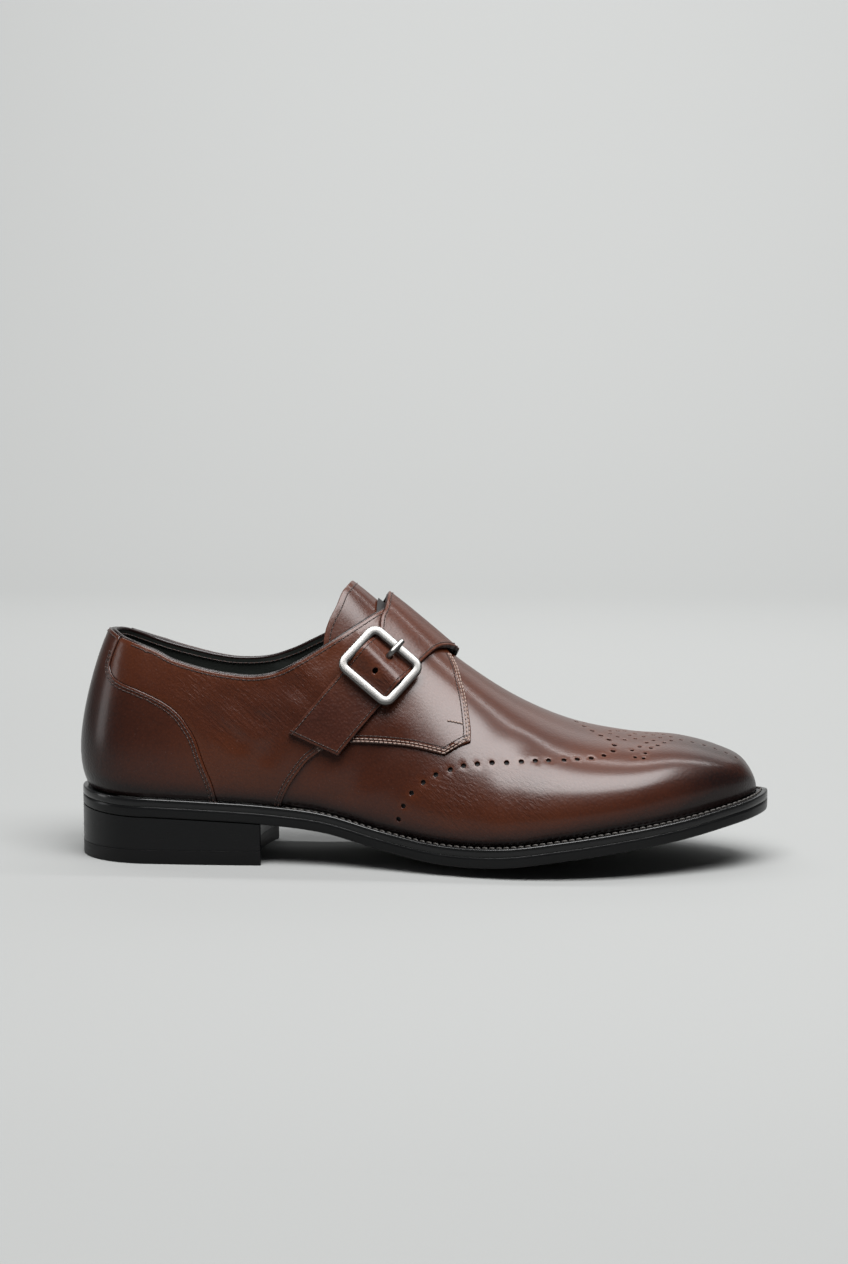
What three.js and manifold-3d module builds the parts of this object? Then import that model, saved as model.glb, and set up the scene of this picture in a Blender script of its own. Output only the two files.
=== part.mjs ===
// Monk strap shoe for the right foot: a lasted upper on a welted leather sole with a stacked heel.
// Millimetres. +X points to the toe, +Y to the inner side of the foot, +Z up. The floor is z = 0.
import * as THREE from "three";
import { mergeVertices } from "three/addons/utils/BufferGeometryUtils.js";
import Module from "manifold-3d";

const wasm = await Module();
wasm.setup();

// Driving sizes of the last. The feather line is where the upper meets the welt.
const LAST_LENGTH = 296.6; // along the feather line, heel to toe tip
const BALL_WIDTH = 96; // across the feather line at the ball
const INSTEP_RISE = 106.2; // highest point of the last's ridge above the welt
const HEEL_HEIGHT = 22.2; // sole's underside above the floor, at the back
const TOE_SPRING = 23; // sole's underside above the floor, at the toe tip
const BALL_CAMBER = 5.9; // how far the sole's middle hangs below its edge at the ball

// Sole
const WELT_PROJECTION = 5.2;
const WELT_THICKNESS = 3;
const OUTSOLE_THICKNESS = 4.8;
const TOP_LIFT_THICKNESS = 6.2;
const INSOLE_THICKNESS = 4.4;
const BREAST_CORNER = 82; // from the back of the feather line to the heel's front corners
const BREAST_HOLLOW = 5.8; // how far the heel's front face is hollowed
const BREAST_SPAN = 66; // across the heel's front face

// Leather
const UPPER_WALL = 2;
const QUARTER_THICKNESS = 1;
const COUNTER_THICKNESS = 1.5;
const TONGUE_THICKNESS = 1.6;
const STRAP_THICKNESS = 2;
const STRAP_WIDTH = 22.8;
const STRAP_STAND_OFF = 2.3; // strap's underside above the upper, over the ridge
const HUMP_SPREAD = 5.4; // along the strap, how wide it bulges over the buckle's centre bar
const TAIL_SLANT = 3.1; // how far each corner of the strap's end leads or trails
const SPARE_HOLE_RADIUS = 1.1;
const SPARE_HOLE_PLACE = -3.2; // along the strap from the buckle's middle

// Buckle
const BUCKLE_BAR_WIDTH = 3.2;
const BUCKLE_THICKNESS = 2.6;
const BUCKLE_WINDOW_LENGTH = 20.2; // along the strap
const BUCKLE_CORNER = 5.2;
const BUCKLE_BEVEL = 0.7;
const CENTRE_BAR_RADIUS = 0.8;
const LUG_LENGTH = 2.6;
const LOOP_WALL = 0.6;
const LOOP_WIDTH = 15;
const LOOP_FOOT = 4.6;
const PRONG_WIDTH = 2.2;
const PRONG_THICKNESS = 1.3;
const PRONG_OVERHANG = 1.2;
const PRONG_RISE_PLACE = 2.7; // along the strap, where the prong starts to climb
const PRONG_SLOPE = 0.55; // how far it runs for each millimetre that it climbs
const PRONG_HOLE_RADIUS = 2.7;
const PRONG_HOLE_PLACE = 4.2; // along the strap from the buckle's middle

// Fits
const CLEARANCE = 0.3; // between pieces that meet
const EDGE_PLAY = 0.5; // strap edge to buckle side, insole edge to upper
const LAP = 0.05; // how far the inner and outer halves of one piece run into each other

// Sections of the last, heel to toe. "at" is a share of LAST_LENGTH. lateral, medial and ridge are
// sideways places, and kick and flank the fullness of each side low down and high up, as shares
// of BALL_WIDTH. rise is a share of INSTEP_RISE, pitch of HEEL_HEIGHT, spring of TOE_SPRING, camber
// of BALL_CAMBER and welt of WELT_PROJECTION. low and high are the heights of kick and flank, as
// shares of the section's rise, and crown is the flat top's share of its half width.
const COLUMNS = [
  "at", "lateral", "medial", "ridge", "rise", "pitch", "spring", "camber", "welt",
  "kickLateral", "flankLateral", "kickMedial", "flankMedial", "low", "high", "crown",
];
const SECTIONS = [
  [0.107, -0.279, 0.327, 0.024, 0.84, 0.919, 0, 0, 0.58, 0.073, -0.031, 0.073, -0.031, 0.2, 0.6, 0.84],
  [0.195, -0.283, 0.323, 0.023, 0.896, 0.874, 0, 0, 0.58, 0.073, -0.021, 0.063, -0.021, 0.18, 0.6, 0.84],
  [0.2825, -0.277, 0.306, 0.025, 0.973, 0.802, 0, 0, 0.6, 0.083, -0.021, 0.073, -0.021, 0.16, 0.6, 0.78],
  [0.37, -0.296, 0.298, 0.033, 1, 0.66, 0.015, 0.1, 0.62, 0.094, -0.042, 0.094, -0.031, 0.16, 0.58, 0.66],
  [0.458, -0.354, 0.328, 0.048, 0.881, 0.33, 0.07, 0.5, 0.72, 0.104, -0.063, 0.125, -0.042, 0.16, 0.58, 0.56],
  [0.5455, -0.433, 0.406, 0.063, 0.72, 0.03, 0.185, 1, 0.9, 0.104, -0.063, 0.115, -0.031, 0.17, 0.6, 0.52],
  [0.633, -0.492, 0.475, 0.071, 0.554, 0, 0.217, 1, 1, 0.094, -0.042, 0.094, 0, 0.2, 0.66, 0.52],
  [0.721, -0.5, 0.498, 0.071, 0.411, 0, 0.374, 0.8, 1, 0.083, 0, 0.083, 0.021, 0.24, 0.74, 0.54],
  [0.8085, -0.446, 0.458, 0.063, 0.326, 0, 0.539, 0.6, 1, 0.063, 0.021, 0.063, 0.031, 0.28, 0.8, 0.56],
  [0.8827, -0.348, 0.371, 0.052, 0.28, 0, 0.687, 0.4, 1, 0.042, 0.031, 0.042, 0.031, 0.32, 0.86, 0.58],
  [0.94, -0.24, 0.265, 0.044, 0.211, 0, 0.835, 0.25, 0.98, 0.031, 0.031, 0.031, 0.031, 0.36, 0.9, 0.6],
  [0.9805, -0.121, 0.154, 0.04, 0.132, 0, 0.939, 0.1, 0.95, 0.016, 0.021, 0.016, 0.021, 0.38, 0.92, 0.62],
  [1, 0.0375, 0.0375, 0.0375, 0, 0, 1, 0, 0.94, 0, 0, 0, 0, 0.4, 0.95, 0.64],
];
// The same columns at the very back, where they differ from the first section.
const BACK = { pitch: 1, welt: 0.5, kick: 0.111, flank: -0.051, low: 0.24, high: 0.53, crown: 0.82 };
const TIP = SECTIONS.length - 1;
const BACK_STATION = -1; // stations run from -1 at the back, over 0 at the heel's widest, to TIP
const STACK = OUTSOLE_THICKNESS + WELT_THICKNESS + 2 * CLEARANCE;
const BUILD_UP = CLEARANCE + COUNTER_THICKNESS; // overlays are let into the rear by this much
const LAST_BUILT_UP = 4; // station where the overlays lie wholly on the upper
const CAMBER_SPREAD = 0.8; // share of the sole's half width that the camber takes
const LATERAL = -1;
const MEDIAL = 1;

// Outlines of the pieces in side view. Each row is a share of LAST_LENGTH and a share of the
// section's rise above the welt.
const COLLAR = [
  // at, outer side, inner side
  [-0.05, 0.795, 0.795], [0.02, 0.802, 0.8], [0.04, 0.803, 0.795], [0.06, 0.778, 0.765],
  [0.085, 0.753, 0.73], [0.116, 0.714, 0.692], [0.142, 0.663, 0.658], [0.181, 0.613, 0.614],
  [0.219, 0.575, 0.584], [0.264, 0.546, 0.573], [0.301, 0.561, 0.6], [0.331, 0.602, 0.638],
  [0.368, 0.676, 0.703], [0.404, 0.789, 0.8], [0.432, 0.9, 0.905], [0.449, 0.966, 0.968],
  [0.47, 1.03, 1.03],
];
const COUNTER_EDGE = [
  [0.209, -0.06], [0.208, 0.012], [0.202, 0.088], [0.19, 0.184], [0.179, 0.286], [0.167, 0.351],
  [0.154, 0.406], [0.137, 0.453], [0.115, 0.496], [0.092, 0.53], [0.058, 0.571], [0.045, 0.624],
  [0.048, 0.683], [0.058, 0.767], [0.066, 0.86],
];
const VAMP_SEAM = [
  [0.305, -0.06], [0.306, 0.025], [0.317, 0.093], [0.332, 0.159], [0.346, 0.21], [0.361, 0.248],
];
const FACING_FOOT = [[0.361, 0.248], [0.384, 0.296], [0.408, 0.332], [0.468, 0.41], [0.507, 0.456],
  [0.547, 0.49]];
const FACING_FRONT = [[0.583, 0.627], [0.582, 0.704], [0.574, 0.831], [0.565, 0.908], [0.554, 0.969],
  [0.536, 1.0]];
const INNER_QUARTER_FRONT = [[0.361, 0.248], [0.42, 0.4], [0.48, 0.6], [0.52, 0.79], [0.545, 0.93],
  [0.553, 1.06]];
const STRAP_REAR_ABOVE = [[0.439, 0.88], [0.446, 0.949], [0.446, 0.986], [0.443, 1.06]];
const STRAP_FRONT_ABOVE = [[0.505, 0.855], [0.521, 0.945], [0.534, 0.99], [0.553, 1.06]];
const STRAP_REAR_INNER = [[0.404, 0.79], [0.425, 0.875], [0.438, 0.945], [0.443, 1.06]];
const TONGUE_EDGE = [
  [0.412, 1.06], [0.403, 0.998], [0.397, 0.965], [0.391, 0.932], [0.382, 0.857], [0.373, 0.797],
  [0.366, 0.729], [0.366, 0.66], [0.38, 0.6], [0.44, 0.63], [0.5, 0.72], [0.54, 0.86],
  [0.555, 1.06],
];
const TAIL_MIDDLE = [0.349, 0.281];
const BUCKLE_MIDDLE = [0.447, 0.708];

const lerp = THREE.MathUtils.lerp;
const REAR = -LAST_LENGTH / 2;

// One section at any station, by a smooth curve through the table's rows. Past the tip "at" turns
// back and every other column carries on, so that the toe closes round.
function rowAt(index) {
  if (index < 0) return SECTIONS[-index];
  if (index <= TIP) return SECTIONS[index];
  const mirrored = SECTIONS[2 * TIP - index];
  return SECTIONS[TIP].map((value, column) => (column ? 2 * value - mirrored[column] : mirrored[0]));
}
function section(station) {
  const inside = Math.min(Math.max(station, 0), TIP - 1e-9);
  const row = Math.floor(inside);
  const t = inside - row;
  const [a, b, c, d] = [-1, 0, 1, 2].map((step) => rowAt(row + step));
  const values = {};
  COLUMNS.forEach((name, k) => {
    const linear = (c[k] - a[k]) * t;
    const square = (2 * a[k] - 5 * b[k] + 4 * c[k] - d[k]) * t * t;
    const cube = (3 * b[k] - a[k] - 3 * c[k] + d[k]) * t * t * t;
    values[name] = (2 * b[k] + linear + square + cube) / 2;
  });
  return values;
}
function stationAt(at) {
  let low = 0;
  let high = TIP;
  for (let i = 0; i < 40; i++) {
    const middle = (low + high) / 2;
    if (section(middle).at < at) low = middle;
    else high = middle;
  }
  return low;
}

// How far round the back a station is: 0 at the heel's widest section, 1 at the very back.
function backness(station) {
  return station < 0 ? Math.sin((-station * Math.PI) / 2) ** 2 : 0;
}
function underside(station) {
  const row = section(station);
  const pitch = lerp(row.pitch, BACK.pitch, backness(station));
  return pitch * HEEL_HEIGHT + row.spring * TOE_SPRING;
}
function featherHeight(station) {
  return underside(station) + STACK;
}
function weltProjection(station) {
  return WELT_PROJECTION * lerp(section(station).welt, BACK.welt, backness(station));
}
function camber(station, across) {
  const spread = Math.max(0, 1 - (across / CAMBER_SPREAD) ** 2);
  return section(station).camber * BALL_CAMBER * spread;
}

// The feather line's point and the ridge's point of one half section.
function ends(station, side) {
  const row = section(station);
  const sideways = BALL_WIDTH * (side < 0 ? row.lateral : row.medial);
  const x = REAR + row.at * LAST_LENGTH;
  const foot = new THREE.Vector3(x, sideways, featherHeight(station));
  const ridge = new THREE.Vector3(x, row.ridge * BALL_WIDTH, 0);
  ridge.z = section(station).rise * INSTEP_RISE + featherHeight(Math.max(station, 0));
  if (station < 0) {
    const turn = (-station * Math.PI) / 2;
    foot.x = lerp(x, REAR, Math.sin(turn));
    foot.y = lerp(ridge.y, sideways, Math.cos(turn));
  }
  return { foot, ridge };
}

// A point of the last's surface. share runs up the half section, 0 at the feather, 1 at the ridge.
function lastPoint(station, side, share) {
  const row = section(station);
  const { foot, ridge } = ends(station, side);
  const back = backness(station);
  const kick = BALL_WIDTH * lerp(side < 0 ? row.kickLateral : row.kickMedial, BACK.kick, back);
  const flank = BALL_WIDTH * lerp(side < 0 ? row.flankLateral : row.flankMedial, BACK.flank, back);
  const low = lerp(row.low, BACK.low, back);
  const high = lerp(row.high, BACK.high, back);
  const crown = lerp(row.crown, BACK.crown, back);
  const out = new THREE.Vector3(foot.x - ridge.x, foot.y - ridge.y, 0);
  const width = out.length();
  if (width > 0) out.divideScalar(width);
  const rise = ridge.z - foot.z;
  const t = share;
  const u = 1 - share;
  const weights = [u ** 4, 4 * t * u ** 3, 6 * t * t * u * u, 4 * t ** 3 * u, t ** 4];
  const radii = [width, width + kick, width + flank, crown * width, 0];
  const heights = [0, low * rise, high * rise, rise, rise];
  const radius = weights.reduce((sum, weight, i) => sum + weight * radii[i], 0);
  const height = weights.reduce((sum, weight, i) => sum + weight * heights[i], 0);
  return new THREE.Vector3(ridge.x + out.x * radius, ridge.y + out.y * radius, foot.z + height);
}

// The outward normal there, by small steps. On the ridge and at the back the two sides agree.
const STEP = 1e-3;
function lastNormal(station, side, share) {
  if (station >= TIP) return new THREE.Vector3(1, 0, 0);
  const before = Math.max(share >= 1 ? 0 : BACK_STATION, station - STEP);
  const along = lastPoint(Math.max(before, BACK_STATION) + 2 * STEP, side, share);
  along.sub(lastPoint(before, side, share));
  if (share >= 1) return new THREE.Vector3(-along.z, 0, along.x).normalize();
  const lower = Math.max(0, share - STEP);
  const up = lastPoint(station, side, lower + 2 * STEP).sub(lastPoint(station, side, lower));
  const normal = along.cross(up).multiplyScalar(-side);
  if (share <= 0) normal.z = 0;
  if (station <= BACK_STATION) normal.y = 0;
  return normal.normalize();
}
function surfacePoint(station, side, share, offset) {
  const normal = lastNormal(station, side, share);
  return lastPoint(station, side, share).addScaledVector(normal, offset);
}

// The upper's outer face lies in from the last's surface by the overlays' build-up at the rear.
function upperFace(station) {
  const t = THREE.MathUtils.smoothstep(station, 0, LAST_BUILT_UP);
  return -BUILD_UP * (1 - t);
}

// Turns a three.js geometry into a solid for joins and cuts.
function solidFrom(geometry) {
  const bare = new THREE.BufferGeometry();
  bare.setAttribute("position", geometry.getAttribute("position"));
  if (geometry.index) bare.setIndex(geometry.index);
  const merged = mergeVertices(bare, 1e-4);
  const index = merged.index.array;
  const triVerts = [];
  for (let i = 0; i < index.length; i += 3) {
    const [a, b, c] = [index[i], index[i + 1], index[i + 2]];
    if (a !== b && b !== c && c !== a) triVerts.push(a, b, c);
  }
  const vertProperties = merged.getAttribute("position").array;
  const mesh = new wasm.Mesh({ numProp: 3, vertProperties, triVerts: new Uint32Array(triVerts) });
  return new wasm.Manifold(mesh);
}
function geometryFrom(solid) {
  const { vertProperties, triVerts, numProp, numVert } = solid.getMesh();
  const positions = new Float32Array(numVert * 3);
  for (let i = 0; i < numVert; i++) {
    positions.set(vertProperties.subarray(i * numProp, i * numProp + 3), i * 3);
  }
  const geometry = new THREE.BufferGeometry();
  geometry.setAttribute("position", new THREE.BufferAttribute(positions, 3));
  geometry.setIndex(new THREE.BufferAttribute(triVerts, 1));
  return geometry;
}
// Faces that meet share their corners, so the same point object is the same corner.
class Faces {
  constructor() {
    this.corners = new Map();
    this.triangles = [];
  }
  corner(point) {
    if (!this.corners.has(point)) this.corners.set(point, this.corners.size);
    return this.corners.get(point);
  }
  triangle(...points) {
    const [a, b, c] = points.map((point) => this.corner(point));
    if (a !== b && b !== c && c !== a) this.triangles.push(a, b, c);
  }
  quad(a, b, c, d) {
    this.triangle(a, b, c);
    this.triangle(a, c, d);
  }
  solid() {
    const places = [...this.corners.keys()].flatMap((point) => point.toArray());
    const mesh = { numProp: 3, vertProperties: new Float32Array(places) };
    return new wasm.Manifold(new wasm.Mesh({ ...mesh, triVerts: new Uint32Array(this.triangles) }));
  }
}

const TOE_ROW = TIP - 3; // from here on the outline turns faster
// Stations round the last. heel and between are how many steps the heel's quarter turn and each
// gap between two sections get, and fine gives the gaps of one stretch more steps.
function stationList(heel, between, fine = { from: 0, to: 0, steps: 1 }) {
  const list = [];
  for (let i = heel; i > 0; i--) list.push(-i / heel);
  for (let row = 0; row < TIP; row++) {
    const inFine = row >= fine.from && row < fine.to;
    const steps = inFine ? fine.steps : between + (row >= TOE_ROW ? 1 : 0);
    for (let i = 0; i < steps; i++) list.push(row + i / steps);
  }
  list.push(TIP);
  return list;
}
function evenShares(steps) {
  return Array.from({ length: steps + 1 }, (_, i) => i / steps);
}
const STATIONS = stationList(7, 2);
const SHARES = evenShares(9);

// A closed body bounded by the last's surface moved out by offset(station, point), with its
// underside dropped below the feather line.
function lastBody(offset, drop, stations, shares) {
  const faces = new Faces();
  const top = shares.length - 1;
  const place = (station, side, share) => {
    const distance = offset(station, lastPoint(station, side, share));
    return surfacePoint(station, side, share, distance);
  };
  const column = (station, side) => {
    if (station === TIP) {
      const tip = place(station, side, 0);
      return shares.map(() => tip);
    }
    return shares.map((share) => place(station, side, share));
  };
  const lateral = stations.map((station) => column(station, LATERAL));
  // The two sides share the ridge, the very back and the tip.
  const medial = stations.map((station, i) => {
    if (station === BACK_STATION || station === TIP) return lateral[i];
    const own = column(station, MEDIAL);
    own[top] = lateral[i][top];
    return own;
  });
  if (drop) {
    const lowered = new Map();
    for (const own of [...lateral, ...medial]) {
      if (!lowered.has(own[0])) lowered.set(own[0], own[0].clone().setZ(own[0].z - drop));
    }
    new Set([...lateral, ...medial]).forEach((own) => own.unshift(lowered.get(own[0])));
  }
  for (let i = 0; i + 1 < stations.length; i++) {
    for (let j = 0; j + 1 < lateral[i].length; j++) {
      faces.quad(lateral[i][j], lateral[i + 1][j], lateral[i + 1][j + 1], lateral[i][j + 1]);
      faces.quad(medial[i][j + 1], medial[i + 1][j + 1], medial[i + 1][j], medial[i][j]);
    }
    faces.quad(lateral[i][0], medial[i][0], medial[i + 1][0], lateral[i + 1][0]);
  }
  return faces.solid();
}
function lastShell(inner, outer, stations = STATIONS, shares = SHARES) {
  const hollow = lastBody(inner, STACK, stations, shares);
  return lastBody(outer, 0, stations, shares).subtract(hollow);
}

// A point of the feather line moved out level by some distance.
function edgePoint(station, side, distance) {
  const foot = ends(station, side).foot;
  const normal = new THREE.Vector2(1, 0);
  if (station <= BACK_STATION) {
    normal.set(-1, 0);
  } else if (station < TIP) {
    const next = ends(station + STEP, side).foot;
    const last = ends(station - STEP, side).foot;
    normal.set(next.y - last.y, last.x - next.x).multiplyScalar(-side).normalize();
  }
  return new THREE.Vector3(foot.x + normal.x * distance, foot.y + normal.y * distance, 0);
}

// A sole layer over the whole outline: distance(station) is how far it stands out from the feather
// line, and top and bottom give its heights from a station and a place across, -1 to 1.
const ACROSS = [-1, -0.8, -0.5, -0.25, 0.25, 0.5, 0.8, 1];
function soleLayer(distance, top, bottom) {
  const faces = new Faces();
  const grid = STATIONS.map((station) => {
    const left = edgePoint(station, LATERAL, distance(station));
    const right = edgePoint(station, MEDIAL, distance(station));
    const pair = (across) => {
      const point = left.clone().lerp(right, (across + 1) / 2);
      const upper = point.clone().setZ(top(station, across));
      return { upper, lower: point.clone().setZ(bottom(station, across)) };
    };
    const end = pair(-1);
    return ACROSS.map(station === BACK_STATION || station === TIP ? () => end : pair);
  });
  for (let i = 0; i + 1 < grid.length; i++) {
    const [here, next] = [grid[i], grid[i + 1]];
    for (let k = 0; k + 1 < ACROSS.length; k++) {
      faces.quad(here[k].upper, next[k].upper, next[k + 1].upper, here[k + 1].upper);
      faces.quad(here[k].lower, here[k + 1].lower, next[k + 1].lower, next[k].lower);
    }
    const far = ACROSS.length - 1;
    faces.quad(here[0].lower, next[0].lower, next[0].upper, here[0].upper);
    faces.quad(here[far].upper, next[far].upper, next[far].lower, here[far].lower);
  }
  return faces.solid();
}

// Side view outlines, as smooth lines of x and z, and prisms cut from them along Y.
function sidePoint([at, share]) {
  const station = stationAt(at);
  const rise = section(station).rise * INSTEP_RISE;
  return new THREE.Vector2(REAR + at * LAST_LENGTH, featherHeight(station) + share * rise);
}
function smooth(rows, steps = 2) {
  const points = rows.map(sidePoint);
  return new THREE.SplineCurve(points).getPoints((points.length - 1) * steps);
}
function shifted(line, distance) {
  return line.map((point, i) => {
    const along = line[Math.min(i + 1, line.length - 1)].clone().sub(line[Math.max(i - 1, 0)]);
    return new THREE.Vector2(along.y, -along.x).normalize().multiplyScalar(distance).add(point);
  });
}
const FAR = BALL_WIDTH;
function prism(outline, fromY, toY) {
  const depth = toY - fromY;
  const geometry = new THREE.ExtrudeGeometry(new THREE.Shape(outline), { depth, bevelEnabled: false });
  geometry.rotateX(Math.PI / 2).translate(0, toY, 0);
  return solidFrom(geometry);
}
const SKY = 2 * INSTEP_RISE;
function above(line) {
  const first = line[0];
  const last = line[line.length - 1];
  return [...line, new THREE.Vector2(last.x, SKY), new THREE.Vector2(first.x, SKY)];
}
const middleY = section(LAST_BUILT_UP).ridge * BALL_WIDTH;
const collarLine = { outer: smooth(COLLAR.map(([at, outer]) => [at, outer])),
  inner: smooth(COLLAR.map(([at, , inner]) => [at, inner])) };
const collarOpening = prism(above(collarLine.outer), -FAR, middleY + LAP)
  .add(prism(above(collarLine.inner), middleY - LAP, FAR));

// The strap lies over the outer side from its end, the tail, through the buckle and over the ridge.
const tailMiddle = sidePoint(TAIL_MIDDLE);
const buckleMiddle = sidePoint(BUCKLE_MIDDLE);
const strapAlong = buckleMiddle.clone().sub(tailMiddle).normalize();
const onStrap = (distance) => buckleMiddle.clone().addScaledVector(strapAlong, distance);
const buckleHalf = BUCKLE_WINDOW_LENGTH / 2 + BUCKLE_BAR_WIDTH / 2; // middle to a crossing side
const loopRadius = CENTRE_BAR_RADIUS + CLEARANCE + LOOP_WALL;
const quarterTop = CLEARANCE + QUARTER_THICKNESS;
const strapSeat = quarterTop + CLEARANCE;
const centreBarHeight = strapSeat + loopRadius;
const strapHump = centreBarHeight + loopRadius + 3 * CLEARANCE - strapSeat;
// How far the strap's underside is above the upper.
function strapLift(point) {
  const place = new THREE.Vector2(point.x, point.z).sub(buckleMiddle).dot(strapAlong);
  const hump = strapHump * Math.exp(-((place / HUMP_SPREAD) ** 2));
  const climb = THREE.MathUtils.smoothstep(place, buckleHalf, 2 * buckleHalf);
  return lerp(strapSeat, STRAP_STAND_OFF, climb) + hump;
}
// On the inner side the strap grows out of the quarter, which lies close on the upper, and this is
// how far a point has gone from quarter (0) to strap (1).
const strapRoot = featherHeight(LAST_BUILT_UP) + section(LAST_BUILT_UP).rise * INSTEP_RISE * 0.5;
const strapCrest = featherHeight(LAST_BUILT_UP) + section(LAST_BUILT_UP).rise * INSTEP_RISE * 0.86;
function asStrap(point) {
  return THREE.MathUtils.smoothstep(point.z, strapRoot, strapCrest);
}
const innerLift = (s, point) => upperFace(s) + lerp(CLEARANCE, STRAP_STAND_OFF, asStrap(point));
const innerDepth = (point) => lerp(QUARTER_THICKNESS, STRAP_THICKNESS, asStrap(point));

// The buckle's own frame on the outer side: X along the strap, Y across it, Z out of the leather.
function outerSurfaceAt(sideView, height) {
  const station = stationAt((sideView.x - REAR) / LAST_LENGTH);
  let low = 0;
  let high = 1;
  for (let i = 0; i < 40; i++) {
    const middle = (low + high) / 2;
    if (lastPoint(station, LATERAL, middle).z < sideView.y) low = middle;
    else high = middle;
  }
  return { point: surfacePoint(station, LATERAL, low, height), normal: lastNormal(station, LATERAL, low) };
}
const seat = outerSurfaceAt(buckleMiddle, upperFace(stationAt(BUCKLE_MIDDLE[0])));
const buckleX = outerSurfaceAt(onStrap(buckleHalf), 0).point;
buckleX.sub(outerSurfaceAt(onStrap(-buckleHalf), 0).point).normalize();
const buckleY = seat.normal.clone().cross(buckleX).normalize();
const buckleZ = buckleX.clone().cross(buckleY);
const buckleFrame = new THREE.Matrix4().makeBasis(buckleX, buckleY, buckleZ).setPosition(seat.point);

function cylinderAlongZ(radius, low, high, x) {
  const geometry = new THREE.CylinderGeometry(radius, radius, high - low, 12);
  return geometry.rotateX(Math.PI / 2).translate(x, 0, (low + high) / 2);
}
// Profiles drawn along the strap and out of the leather, extruded across the strap.
function acrossStrap(shape, width) {
  const geometry = new THREE.ExtrudeGeometry(shape, { depth: width, bevelEnabled: false, curveSegments: 6 });
  return geometry.rotateX(Math.PI / 2).translate(0, width / 2, 0);
}
function box(x0, x1, y0, y1, z0, z1) {
  const geometry = new THREE.BoxGeometry(x1 - x0, y1 - y0, z1 - z0);
  return solidFrom(geometry.translate((x0 + x1) / 2, (y0 + y1) / 2, (z0 + z1) / 2));
}
function roundedRectangle(path, halfX, halfY, corner) {
  path.moveTo(halfX - corner, -halfY);
  path.absarc(halfX - corner, -halfY + corner, corner, -Math.PI / 2, 0);
  path.absarc(halfX - corner, halfY - corner, corner, 0, Math.PI / 2);
  path.absarc(-halfX + corner, halfY - corner, corner, Math.PI / 2, Math.PI);
  path.absarc(-halfX + corner, -halfY + corner, corner, Math.PI, 1.5 * Math.PI);
  path.closePath();
  return path;
}

const windowHalfX = BUCKLE_WINDOW_LENGTH / 2;
const windowHalfY = STRAP_WIDTH / 2 + EDGE_PLAY;
const frameBottom = strapSeat + STRAP_THICKNESS + 2 * CLEARANCE;
const frameTop = frameBottom + BUCKLE_THICKNESS;

function buckleFrameSolid() {
  const bevel = BUCKLE_BEVEL;
  const outline = roundedRectangle(new THREE.Shape(), windowHalfX + BUCKLE_BAR_WIDTH - bevel,
    windowHalfY + BUCKLE_BAR_WIDTH - bevel, BUCKLE_CORNER - bevel);
  const corner = BUCKLE_CORNER - BUCKLE_BAR_WIDTH + bevel;
  outline.holes.push(roundedRectangle(new THREE.Path(), windowHalfX + bevel, windowHalfY + bevel, corner));
  const ring = new THREE.ExtrudeGeometry(outline, { depth: BUCKLE_THICKNESS - 2 * bevel, curveSegments: 4,
    bevelThickness: bevel, bevelSize: bevel, bevelSegments: 1 });
  ring.translate(0, 0, frameBottom + bevel);
  const barEnd = windowHalfY + BUCKLE_BAR_WIDTH / 2;
  const bar = cylinderAlongZ(CENTRE_BAR_RADIUS, -barEnd, barEnd, 0);
  bar.rotateX(Math.PI / 2).translate(0, 0, centreBarHeight);
  let solid = solidFrom(ring).add(solidFrom(bar));
  for (const side of [-1, 1]) {
    const inner = side * (windowHalfY + CLEARANCE);
    const outer = side * (windowHalfY + BUCKLE_BAR_WIDTH - BUCKLE_BEVEL);
    const low = centreBarHeight - CENTRE_BAR_RADIUS;
    const [from, to] = [Math.min(inner, outer), Math.max(inner, outer)];
    solid = solid.add(box(-LUG_LENGTH / 2, LUG_LENGTH / 2, from, to, low, frameBottom + BUCKLE_BEVEL));
  }
  return solid;
}

// The prong's ring turns on the centre bar. Its arm climbs through the strap's hole and rests on
// the side of the frame nearer the ridge.
const prongTip = windowHalfX + BUCKLE_BAR_WIDTH + PRONG_OVERHANG;
function prongSolid() {
  const ring = new THREE.Shape().absarc(0, centreBarHeight, loopRadius, 0, 2 * Math.PI);
  ring.holes.push(new THREE.Path().absarc(0, centreBarHeight, CENTRE_BAR_RADIUS + CLEARANCE, 0, 2 * Math.PI));
  const rest = frameTop + CLEARANCE;
  const climb = PRONG_RISE_PLACE + (rest - centreBarHeight) * PRONG_SLOPE;
  const start = CENTRE_BAR_RADIUS + CLEARANCE + LOOP_WALL / 2;
  const arm = new THREE.Shape();
  arm.moveTo(start, centreBarHeight - PRONG_THICKNESS / 2);
  arm.lineTo(PRONG_RISE_PLACE + PRONG_THICKNESS / 2, centreBarHeight - PRONG_THICKNESS / 2);
  arm.lineTo(climb + PRONG_THICKNESS / 2, rest);
  arm.lineTo(prongTip, rest);
  arm.lineTo(prongTip, rest + PRONG_THICKNESS * 0.7);
  arm.lineTo(climb, rest + PRONG_THICKNESS);
  arm.lineTo(PRONG_RISE_PLACE - PRONG_THICKNESS / 2, centreBarHeight + PRONG_THICKNESS / 2);
  arm.lineTo(start, centreBarHeight + PRONG_THICKNESS / 2);
  arm.closePath();
  return solidFrom(acrossStrap(ring, PRONG_WIDTH)).add(solidFrom(acrossStrap(arm, PRONG_WIDTH)));
}
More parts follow.
